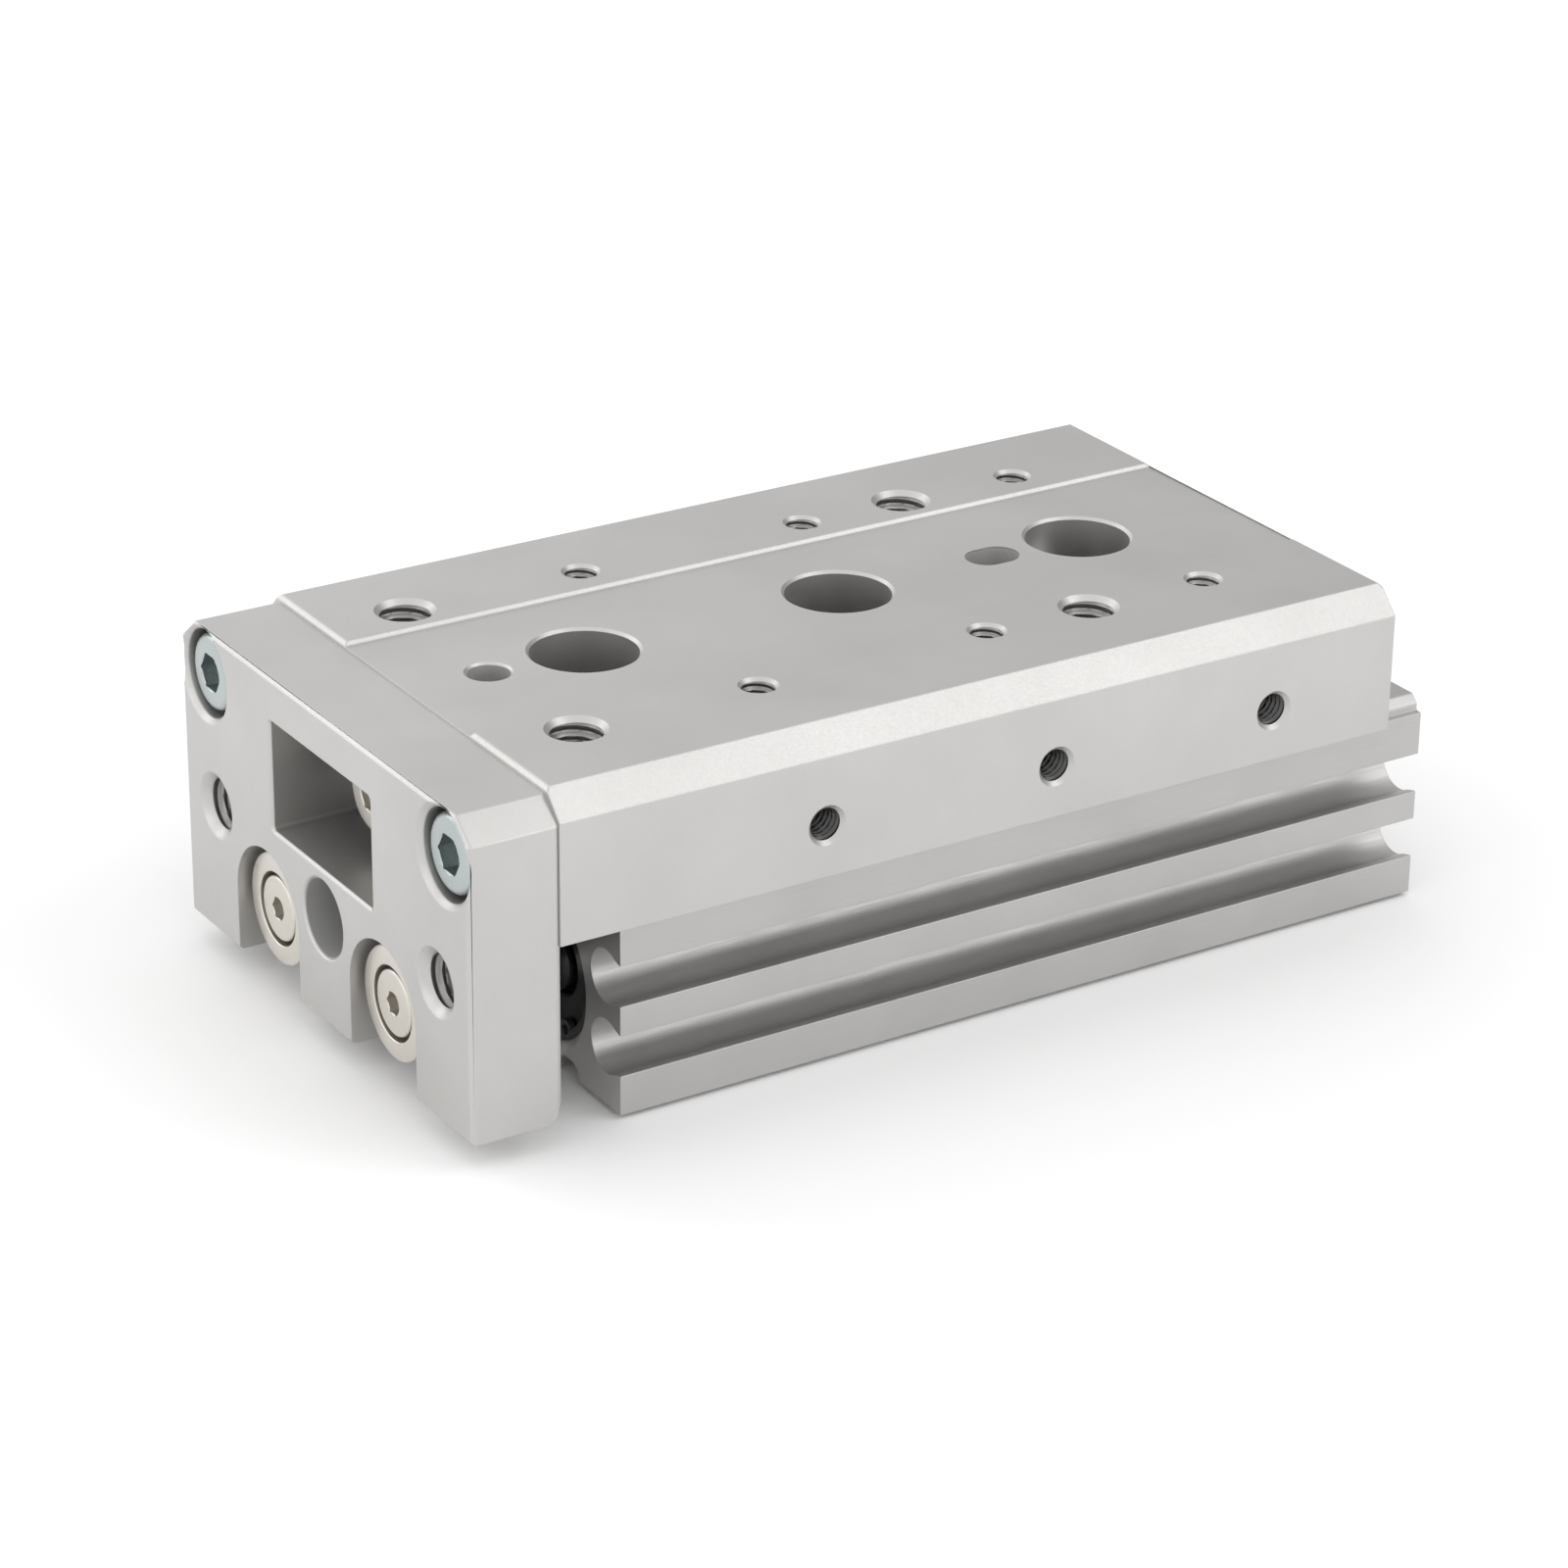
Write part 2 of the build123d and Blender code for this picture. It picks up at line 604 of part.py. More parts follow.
def ball_turn(x, side, radius):
    """The round turn between the loaded row and the return tunnel."""
    return Pos(x, side * TURN_Y, TRACK_Z) * Torus(TURN_R, radius)


def ball_places(side):
    """The ball centres, evenly spread along the closed way."""
    straight = BLOCK_FRONT - BLOCK_REAR
    arc = pi * TURN_R
    pitch = 2 * (straight + arc) / BALL_COUNT
    places = []
    for i in range(BALL_COUNT):
        way = i * pitch
        if way < straight:
            x, y = BLOCK_REAR + way, TRACK_Y
        elif way < straight + arc:
            angle = (way - straight) / TURN_R
            x, y = BLOCK_FRONT + TURN_R * sin(angle), TURN_Y + TURN_R * cos(angle)
        elif way < 2 * straight + arc:
            x, y = BLOCK_FRONT - (way - straight - arc), RETURN_Y
        else:
            angle = (way - 2 * straight - arc) / TURN_R
            x, y = BLOCK_REAR - TURN_R * sin(angle), TURN_Y - TURN_R * cos(angle)
        places.append((x, side * y, TRACK_Z))
    return places


def guide_block():
    """The hardened block between the rails, with the loaded grooves and the returns."""
    bevel = 0.5
    half = [(BLOCK_HALF - bevel, BLOCK_TOP), (BLOCK_HALF, BLOCK_TOP - bevel)]
    half += [(BLOCK_HALF, DECK_HEIGHT)]
    piece = prism_x(mirrored_section(half), (BLOCK_REAR, BLOCK_FRONT))
    for _, side in SIDES:
        piece -= ball_track(side, TUNNEL_R)
    x = MOUNT_X[0]
    piece -= hole((x, 0, BLOCK_TOP), (0, 0, 1), MOUNT_SINK_R, BLOCK_HEIGHT + CUT, None, False)
    for x, y in BLOCK_SCREW_AT:
        top = (x, y, BLOCK_TOP)
        piece -= hole(top, (0, 0, 1), M2_LOW[1] + HEAD_CLEAR, BLOCK_SINK, None, False)
        piece -= hole(top, (0, 0, 1), M2_LOW[0] + FIT_CLEAR, BLOCK_HEIGHT + CUT, None, False)
    depth = COVER_SCREW_LENGTH - (UNIT_FRONT - BLOCK_FRONT) + 0.2
    front = (BLOCK_FRONT, 0, COVER_SCREW_Z)
    piece -= hole(front, (1, 0, 0), M3_CAP[0] + THREAD_CLEAR, depth, None, False)
    depth = REAR_SCREW_LENGTH - (BLOCK_REAR - UNIT_REAR) + 0.2
    for y, z in REAR_SCREW_AT:
        rear = (BLOCK_REAR, y, z)
        piece -= hole(rear, (-1, 0, 0), M16_LOW[0] + THREAD_CLEAR, depth, None, False)
    return piece


def guide_cover(x, turn_x, screws, shank):
    """A moulded end cover that turns the balls back; x is its rear and front."""
    bevel = 0.8
    half = [(COVER_HALF - bevel, BLOCK_TOP), (COVER_HALF, BLOCK_TOP - bevel)]
    half += [(COVER_HALF, DECK_HEIGHT + COVER_LIFT)]
    piece = prism_x(mirrored_section(half), x)
    for _, side in SIDES:
        piece -= ball_turn(turn_x, side, TUNNEL_R)
    for y, z in screws:
        piece -= bar_x((x[0] - CUT, x[1] + CUT), y, z, shank + FIT_CLEAR)
    return piece


def scraper(x, screws, shank):
    """The end seal that wipes the two rails."""
    half = [(COVER_HALF - 0.8, BLOCK_TOP), (COVER_HALF, BLOCK_TOP - 0.8)]
    half += [(COVER_HALF, DECK_HEIGHT + COVER_LIFT)]
    piece = prism_x(mirrored_section(half), x)
    for _, side in SIDES:
        piece += bar_x(x, side * TRACK_Y, TRACK_Z, BALL_R - 0.05)
    for y, z in screws:
        piece -= bar_x((x[0] - CUT, x[1] + CUT), y, z, shank + FIT_CLEAR)
    return piece


def ball_retainer(side):
    """The strip that keeps the loaded balls in the block."""
    y = sorted((side * BLOCK_HALF, side * RETAINER_OUT))
    z = (TRACK_Z - RETAINER_HALF, TRACK_Z + RETAINER_HALF)
    way = bar_x((BLOCK_REAR - CUT, BLOCK_FRONT + CUT), side * TRACK_Y, TRACK_Z, RETAINER_R)
    strips = (block((BLOCK_REAR, BLOCK_FRONT), y, z) - way).solids()
    return group(strips)


def raceway_rail(side):
    """The hardened rail pressed into the table."""
    x = (TABLE_REAR + RAIL_INSET, X_JOINT - RAIL_INSET)
    y = sorted((side * RAIL_FACE, side * RAIL_BACK))
    z = (RAIL_TOP - RAIL_HEIGHT, RAIL_TOP)
    way = bar_x((x[0] - CUT, x[1] + CUT), side * TRACK_Y, TRACK_Z, TUNNEL_R + 0.02)
    return block(x, y, z) - way


# Table
def table():
    """The channel-shaped table with its threads, pin holes and screw openings."""
    half = [
        (RECESS_HALF, RECESS_Z),
        (RECESS_HALF + 0.4, UNIT_HEIGHT),
        (HALF_TABLE - TABLE_CHAMFER, UNIT_HEIGHT),
        (HALF_TABLE, UNIT_HEIGHT - TABLE_CHAMFER_Z),
        (HALF_TABLE, LIP_BOTTOM),
        (LEDGE_HALF + SLIDE_CLEAR, LIP_BOTTOM),
        (LEDGE_HALF + SLIDE_CLEAR, SKIRT_Z),
        (RAIL_BACK, SKIRT_Z),
        (RAIL_BACK, RAIL_TOP),
        (RAIL_FACE, RAIL_TOP),
        (RAIL_FACE, CEILING_Z),
    ]
    piece = prism_x(mirrored_section(half), (TABLE_REAR, X_JOINT))
    for x, run in ((X_JOINT, EDGE_BREAK), (TABLE_REAR, -EDGE_BREAK)):
        piece -= edge_cut(x, UNIT_HEIGHT, run, EDGE_BREAK, HALF_TABLE)
    up = (0, 0, 1)
    for side in (1, -1):
        y = side * TABLE_THREAD_Y
        for x in LARGE_X:
            at = (x, y, UNIT_HEIGHT)
            piece -= tapped(at, up, *LARGE_THREAD)
        for x in SMALL_X:
            at = (x, y, UNIT_HEIGHT)
            piece -= tapped(at, up, *SMALL_THREAD)
            at = (x, side * HALF_TABLE, UNIT_HEIGHT - SIDE_THREAD_DROP)
            piece -= tapped(at, (0, side, 0), *SIDE_THREAD)
        at = (X_JOINT, side * PLATE_SCREW_Y, PLATE_SCREW_Z)
        depth = PLATE_SCREW_LENGTH - (PLATE_SCREW_SEAT - X_JOINT) + CUT
        piece -= hole(at, (1, 0, 0), M3_CAP[0] + THREAD_CLEAR, depth)
    at = (LARGE_X[0], 0, RECESS_Z)
    piece -= hole(at, up, PIN_R, TABLE_PIN_DEPTH, PIN_MOUTH, False)
    piece -= slot_z(LARGE_X[1], 0, RECESS_Z, PIN_R, TABLE_SLOT, TABLE_PIN_DEPTH)
    for x in MOUNT_X:
        at = (x, 0, RECESS_Z)
        piece -= hole(at, up, ACCESS_R, RECESS_Z - CEILING_Z + CUT, ACCESS_MOUTH, False)
    return piece


# End plate
def end_plate_slab(x, notch):
    """One layer of the end plate with its two open notches of the given half width."""
    half = [
        (HALF_TABLE - PLATE_CHAMFER_Y, PLATE_TOP),
        (HALF_TABLE, PLATE_TOP - PLATE_CHAMFER_Z),
        (HALF_TABLE, PLATE_BOTTOM),
    ]
    section = mirrored_section(half)
    for _, side in SIDES:
        section -= Pos(side * ROD_Y, ROD_Z) * Circle(notch)
        section -= Pos(side * ROD_Y, ROD_Z / 2) * Rectangle(2 * notch, ROD_Z)
    return prism_x(section, x)


def end_plate():
    """The plate on the front of the table that the two rods push and pull."""
    front = end_plate_slab((WEB_FRONT, X_FRONT), NOTCH_HALF)
    rim = front.faces().sort_by(Axis.X)[-1].outer_wire().edges()
    front = chamfer(rim, EDGE_BREAK)
    back = end_plate_slab((X_JOINT, WEB_FRONT), SLOT_HALF)
    rim = back.faces().sort_by(Axis.X)[0].outer_wire().edges()
    outside = [e for e in rim if abs(e.center().Y) > HALF_TABLE - 2 or e.center().Z > PLATE_TOP - 0.1]
    piece = front + chamfer([e for e in outside if e.center().Z > PLATE_BOTTOM + 0.1], PLATE_REAR_BREAK)
    window = RectangleRounded(WINDOW_WIDTH, WINDOW_HEIGHT, WINDOW_CORNER)
    piece -= prism_x(Pos(0, WINDOW_MIDDLE) * window, (X_JOINT - CUT, X_FRONT + CUT))
    wide = RectangleRounded(WINDOW_WIDTH + 0.4, WINDOW_HEIGHT + 0.4, WINDOW_CORNER + 0.2)
    mouth = Plane.YZ.offset(X_FRONT) * Pos(0, WINDOW_MIDDLE) * wide
    piece -= extrude(mouth, amount=-0.2, taper=45)
    ahead = (1, 0, 0)
    for _, side in SIDES:
        at = (X_FRONT, side * PLATE_SCREW_Y, PLATE_SCREW_Z)
        piece -= hole(at, ahead, M3_CAP[0] + FIT_CLEAR, PLATE_THICKNESS + CUT, None, False)
        sink = X_FRONT - PLATE_SCREW_SEAT
        piece -= hole(at, ahead, PLATE_SINK_R, sink, PLATE_SINK_MOUTH, False)
        at = (X_FRONT, side * PLATE_THREAD_Y, UNIT_HEIGHT - PLATE_THREAD_DROP)
        depth = PLATE_THICKNESS + CUT
        piece -= hole(at, ahead, LARGE_THREAD_R, depth, PLATE_THREAD_MOUTH, False)
    at = (X_FRONT, 0, CENTRE_HOLE_Z)
    piece -= hole(at, ahead, CENTRE_HOLE_R, PLATE_THICKNESS + CUT, CENTRE_MOUTH, False)
    heel = (X_JOINT, PLATE_BOTTOM)
    corner = block((heel[0] - CUT, heel[0] + HEEL_RADIUS), (-HALF_TABLE - CUT, HALF_TABLE + CUT),
                   (heel[1] - CUT, heel[1] + HEEL_RADIUS))
    reach = (-HALF_TABLE - 2 * CUT, HALF_TABLE + 2 * CUT)
    corner -= bar_y(heel[0] + HEEL_RADIUS, reach, heel[1] + HEEL_RADIUS, HEEL_RADIUS)
    return piece - corner


# Every node
def main():
    """Builds and writes all the pieces."""
    os.makedirs("parts", exist_ok=True)
    write("cylinder_body", cylinder_body())
    write("guide_block", guide_block())
    write("table", table())
    write("end_plate", end_plate())

    up, ahead, back = (0, 0, 1), (1, 0, 0), (-1, 0, 0)
    centre = [(0, COVER_SCREW_Z)]
    front_x = (BLOCK_FRONT, FRONT_COVER_X)
    rear_x = (REAR_COVER_X, BLOCK_REAR)
    m3, m16 = M3_CAP[0], M16_LOW[0]
    write("guide_cover_front", guide_cover(front_x, BLOCK_FRONT, centre, m3))
    write("guide_cover_rear", guide_cover(rear_x, BLOCK_REAR, REAR_SCREW_AT, m16))
    write("scraper_front", scraper((FRONT_COVER_X, UNIT_FRONT), centre, m3))
    write("scraper_rear", scraper((UNIT_REAR, REAR_COVER_X), REAR_SCREW_AT, m16))

    at = [(x, y, BLOCK_SCREW_SEAT) for x, y in BLOCK_SCREW_AT]
    write("guide_block_screws", group(screw(p, up, M2_LOW, BLOCK_SCREW_LENGTH) for p in at))
    at = (UNIT_FRONT, 0, COVER_SCREW_Z)
    write("guide_cover_screw", screw(at, ahead, M3_CAP, COVER_SCREW_LENGTH))
    at = [(UNIT_REAR, y, z) for y, z in REAR_SCREW_AT]
    write("guide_rear_screws", group(screw(p, back, M16_LOW, REAR_SCREW_LENGTH) for p in at))
    at = [(PLATE_SCREW_SEAT, side * PLATE_SCREW_Y, PLATE_SCREW_Z) for _, side in SIDES]
    write("end_plate_screws", group(screw(p, ahead, M3_CAP, PLATE_SCREW_LENGTH) for p in at))

    for name, side in SIDES:
        y = side * ROD_Y
        write(f"balls_{name}", group(Pos(*p) * Sphere(BALL_R) for p in ball_places(side)))
        write(f"ball_retainer_{name}", ball_retainer(side))
        write(f"raceway_rail_{name}", raceway_rail(side))

        write(f"rod_cover_{name}", rod_cover(y))
        middle = COVER_FRONT - ROD_COVER_LENGTH / 2
        write(f"rod_cover_seal_{name}", oring(middle, y, POCKET_R - FIT_CLEAR))
        write(f"rod_seal_{name}", rod_seal(y))
        ring = retaining_ring((COVER_FRONT, RING_FRONT), y, POCKET_R + RING_DEPTH - FIT_CLEAR)
        write(f"rod_cover_ring_{name}", ring)
        write(f"head_cap_{name}", head_cap(y))
        seal = oring(CAP_INNER - ORING_INSET, y, CAP_R - FIT_CLEAR)
        write(f"head_cap_seal_{name}", seal)
        ring = retaining_ring((RING_REAR, CAP_REAR), y, CAP_R + RING_DEPTH - FIT_CLEAR)
        write(f"head_cap_ring_{name}", ring)
        write(f"head_bumper_{name}", head_bumper(y))

        write(f"piston_rod_{name}", piston_rod(y))
        write(f"piston_{name}", piston(y))
        write(f"piston_seal_{name}", piston_seal(y))
        gap = (MAGNET_REAR, MAGNET_FRONT)
        write(f"piston_magnet_{name}", ring_x(gap, y, ROD_Z, MAGNET_R, SPIGOT_R + FIT_CLEAR))
        gap = (PISTON_FRONT, PISTON_FRONT + ROD_BUMPER)
        write(f"rod_bumper_{name}", ring_x(gap, y, ROD_Z, ROD_BUMPER_R, ROD_R + RUN_CLEAR))
        write(f"floating_bush_{name}", floating_bush(y))
        gap = (ROD_FRONT, BUSH_REAR)
        washer = ring_x(gap, y, ROD_Z, WASHER_R, M25_ROD[0] + FIT_CLEAR)
        write(f"float_washer_{name}", washer)
        at = (ROD_SCREW_SEAT, y, ROD_Z)
        write(f"rod_end_screw_{name}", screw(at, ahead, M25_ROD, ROD_SCREW_LENGTH))


main()
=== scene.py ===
"""Studio looks of a twin-rod pneumatic slide table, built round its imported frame."""

import functools
import logging
import math
from dataclasses import dataclass
from enum import Enum
from typing import Sequence

import bmesh
import bpy
from mathutils import Matrix, Vector

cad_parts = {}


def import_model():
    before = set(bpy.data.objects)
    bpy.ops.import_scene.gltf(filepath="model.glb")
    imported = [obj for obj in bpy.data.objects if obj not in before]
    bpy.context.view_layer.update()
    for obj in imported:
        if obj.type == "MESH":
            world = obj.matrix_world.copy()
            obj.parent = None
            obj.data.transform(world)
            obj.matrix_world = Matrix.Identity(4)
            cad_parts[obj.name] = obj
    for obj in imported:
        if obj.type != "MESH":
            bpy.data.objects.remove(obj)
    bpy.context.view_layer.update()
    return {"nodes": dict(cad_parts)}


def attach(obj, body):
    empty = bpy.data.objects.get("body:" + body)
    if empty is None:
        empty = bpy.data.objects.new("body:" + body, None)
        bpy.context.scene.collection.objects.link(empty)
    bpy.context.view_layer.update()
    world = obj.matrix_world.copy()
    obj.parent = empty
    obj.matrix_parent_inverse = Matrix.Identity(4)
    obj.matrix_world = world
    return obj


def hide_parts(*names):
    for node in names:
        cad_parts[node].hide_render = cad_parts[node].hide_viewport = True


LOG = logging.getLogger("slide_table")
MM = 0.001
Point = tuple[float, float, float]
Flat = tuple[float, float]
Colour = tuple[float, float, float]

AHEAD: Point = (1.0, 0.0, 0.0)
BACK: Point = (-1.0, 0.0, 0.0)
UP: Point = (0.0, 0.0, 1.0)
DOWN: Point = (0.0, 0.0, -1.0)
SIDES = (("near", 1), ("far", -1))


class Carrier(Enum):
    """The two bodies that pieces ride on."""

    BASE = "base"
    SLIDE = "slide"


class Grain(Enum):
    """The way the fine marks of a surface run, as how fast they change along X, Y and Z."""

    EVEN = (1.0, 1.0, 1.0)
    DRAWN = (0.03, 1.0, 1.0)
    TURNED = (1.0, 0.12, 0.12)


@dataclass(frozen=True)
class Finish:
    """A surface with slow colour drift, fine grain in its gloss and a fine relief.

    Lengths are in millimetres.
    """

    name: str
    light: Colour
    dark: Colour
    metallic: float
    gloss_low: float
    gloss_high: float
    grain: Grain = Grain.EVEN
    grain_size: float = 0.12
    relief: float = 0.003
    drift_size: float = 9.0
    coat: float = 0.0
    specular: float = 0.5

    def material(self) -> bpy.types.Material:
        """Makes the material, once for each finish.

        Returns:
            The material that carries this finish.
        """
        return _material(self)


@functools.cache
def _material(finish: Finish) -> bpy.types.Material:
    """Builds the node tree of a finish.

    Args:
        finish: The finish to build.

    Returns:
        The material.
    """
    material = bpy.data.materials.new(finish.name)
    material.use_nodes = True
    nodes, links = material.node_tree.nodes, material.node_tree.links
    shader = nodes["Principled BSDF"]
    shader.inputs["Metallic"].default_value = finish.metallic
    shader.inputs["Coat Weight"].default_value = finish.coat
    shader.inputs["Coat Roughness"].default_value = 0.2
    shader.inputs["Specular IOR Level"].default_value = finish.specular
    place = nodes.new("ShaderNodeTexCoord")

    drift = nodes.new("ShaderNodeTexNoise")
    drift.inputs["Scale"].default_value = 1.0 / (finish.drift_size * MM)
    drift.inputs["Detail"].default_value = 3.0
    links.new(place.outputs["Object"], drift.inputs["Vector"])
    tones = nodes.new("ShaderNodeValToRGB")
    tones.color_ramp.elements[0].position = 0.3
    tones.color_ramp.elements[0].color = (*finish.dark, 1.0)
    tones.color_ramp.elements[1].position = 0.7
    tones.color_ramp.elements[1].color = (*finish.light, 1.0)
    links.new(drift.outputs["Fac"], tones.inputs["Fac"])
    links.new(tones.outputs["Color"], shader.inputs["Base Color"])

    run = nodes.new("ShaderNodeMapping")
    scale = 1.0 / (finish.grain_size * MM)
    run.inputs["Scale"].default_value = [scale * way for way in finish.grain.value]
    links.new(place.outputs["Object"], run.inputs["Vector"])
    marks = nodes.new("ShaderNodeTexNoise")
    marks.inputs["Scale"].default_value = 1.0
    marks.inputs["Detail"].default_value = 4.0
    marks.inputs["Roughness"].default_value = 0.6
    links.new(run.outputs["Vector"], marks.inputs["Vector"])
    gloss = nodes.new("ShaderNodeMapRange")
    gloss.inputs["From Min"].default_value = 0.3
    gloss.inputs["From Max"].default_value = 0.7
    gloss.inputs["To Min"].default_value = finish.gloss_low
    gloss.inputs["To Max"].default_value = finish.gloss_high
    links.new(marks.outputs["Fac"], gloss.inputs["Value"])
    links.new(gloss.outputs["Result"], shader.inputs["Roughness"])

    bump = nodes.new("ShaderNodeBump")
    bump.inputs["Strength"].default_value = 0.6
    bump.inputs["Distance"].default_value = finish.relief * MM
    links.new(marks.outputs["Fac"], bump.inputs["Height"])
    links.new(bump.outputs["Normal"], shader.inputs["Normal"])
    return material


MILLED_ALUMINIUM = Finish(
    "clear_anodised_milled", (0.57, 0.562, 0.55), (0.53, 0.522, 0.51),
    0.9, 0.36, 0.5,
)
DRAWN_ALUMINIUM = Finish(
    "clear_anodised_drawn", (0.52, 0.512, 0.504), (0.48, 0.472, 0.464),
    0.9, 0.36, 0.52, Grain.DRAWN,
)
CUT_ALUMINIUM = Finish(
    "turned_aluminium", (0.72, 0.71, 0.70), (0.66, 0.65, 0.64),
    1.0, 0.25, 0.4, Grain.TURNED,
)
REAMED_BORE = Finish(
    "matte_anodised_bore", (0.42, 0.417, 0.41), (0.36, 0.357, 0.35),
    0.35, 0.55, 0.7, Grain.TURNED, 0.1,
)
# Thread linings are coloured darker than the aluminium round them: painted shade for the inside of
# a tapped hole.
THREAD_PAINTED_SHADE = Finish(
    "thread_painted_shade", (0.36, 0.355, 0.35), (0.28, 0.275, 0.27),
    0.95, 0.3, 0.45, Grain.TURNED, 0.08,
)
# A near-black thread lining for the deep side holes: painted shade for the dark inside of those
# holes.
DEEP_THREAD_PAINTED_SHADE = Finish(
    "deep_thread_painted_shade", (0.13, 0.13, 0.128), (0.08, 0.08, 0.078),
    0.9, 0.3, 0.45, Grain.TURNED, 0.08,
)
GROUND_STEEL = Finish(
    "ground_steel", (0.50, 0.51, 0.53), (0.44, 0.45, 0.47),
    1.0, 0.2, 0.32, Grain.DRAWN, 0.06,
)
POLISHED_STEEL = Finish(
    "polished_steel", (0.74, 0.75, 0.77), (0.70, 0.71, 0.73),
    1.0, 0.05, 0.12, Grain.EVEN, 0.3, 0.0005,
)
CHROMED_ROD = Finish(
    "hard_chrome", (0.72, 0.73, 0.74), (0.68, 0.69, 0.70),
    1.0, 0.08, 0.18, Grain.TURNED, 0.05, 0.0005,
)
NICKEL_PLATE = Finish(
    "nickel_plate", (0.70, 0.665, 0.61), (0.65, 0.615, 0.56),
    0.9, 0.28, 0.42, Grain.TURNED, 0.08,
)
ZINC_PLATE = Finish(
    "zinc_plate", (0.50, 0.545, 0.54), (0.42, 0.47, 0.465),
    0.95, 0.24, 0.38, Grain.EVEN, 0.09,
)
SPRING_STEEL = Finish(
    "phosphated_spring_steel", (0.095, 0.095, 0.10), (0.065, 0.065, 0.068),
    0.7, 0.36, 0.52,
)
BLACK_ANODISED = Finish(
    "black_anodised", (0.030, 0.030, 0.032), (0.020, 0.020, 0.021),
    0.4, 0.32, 0.48, Grain.TURNED,
)
BLACK_POLYMER = Finish(
    "black_moulded_polymer", (0.030, 0.030, 0.032), (0.02, 0.02, 0.021),
    0.0, 0.42, 0.6, relief=0.006,
)
NITRILE = Finish(
    "nitrile_rubber", (0.020, 0.020, 0.020), (0.012, 0.012, 0.012),
    0.0, 0.6, 0.8, relief=0.008,
)
URETHANE = Finish(
    "urethane_bumper", (0.06, 0.055, 0.05), (0.045, 0.042, 0.038),
    0.0, 0.45, 0.6, relief=0.005,
)
MAGNET_BODY = Finish(
    "bonded_magnet", (0.10, 0.10, 0.105), (0.07, 0.07, 0.075),
    0.3, 0.45, 0.65, relief=0.006,
)


@dataclass(frozen=True)
class Thread:
    """A metric thread in millimetres."""

    major: float
    core: float
    pitch: float


M16 = Thread(0.8, 0.63, 0.35)
M2 = Thread(1.0, 0.8, 0.4)
M25 = Thread(1.25, 1.03, 0.45)
M3 = Thread(1.5, 1.24, 0.5)
M4 = Thread(2.0, 1.65, 0.7)
M5 = Thread(2.5, 2.1, 0.8)


def seat(at: Point, out: Point) -> Matrix:
    """Gives the frame of a feature that points out of the material.

    Args:
        at: The feature's place.
        out: The direction out of the material.

    Returns:
        A matrix whose Z axis is that direction.
    """
    ahead = Vector(out).normalized()
    upright = Vector(UP) if abs(ahead.z) < 0.9 else Vector((0.0, 1.0, 0.0))
    across = upright.cross(ahead)
    turn = Matrix((across, upright, ahead)).transposed().to_4x4()
    return Matrix.Translation(at) @ turn


def arc(middle: Flat, radius: float, start: float, end: float, steps: int) -> list[Flat]:
    """Lists the points of an arc between two angles in degrees, both ends included."""
    span = [math.radians(start + (end - start) * i / steps) for i in range(steps + 1)]
    return [(middle[0] + radius * math.cos(a), middle[1] + radius * math.sin(a)) for a in span]


def both_halves(half: Sequence[Flat]) -> list[Flat]:
    """Closes the +Y half of an outline, listed from top to bottom, with its mirror image."""
    return list(half) + [(-y, z) for y, z in reversed(half)]


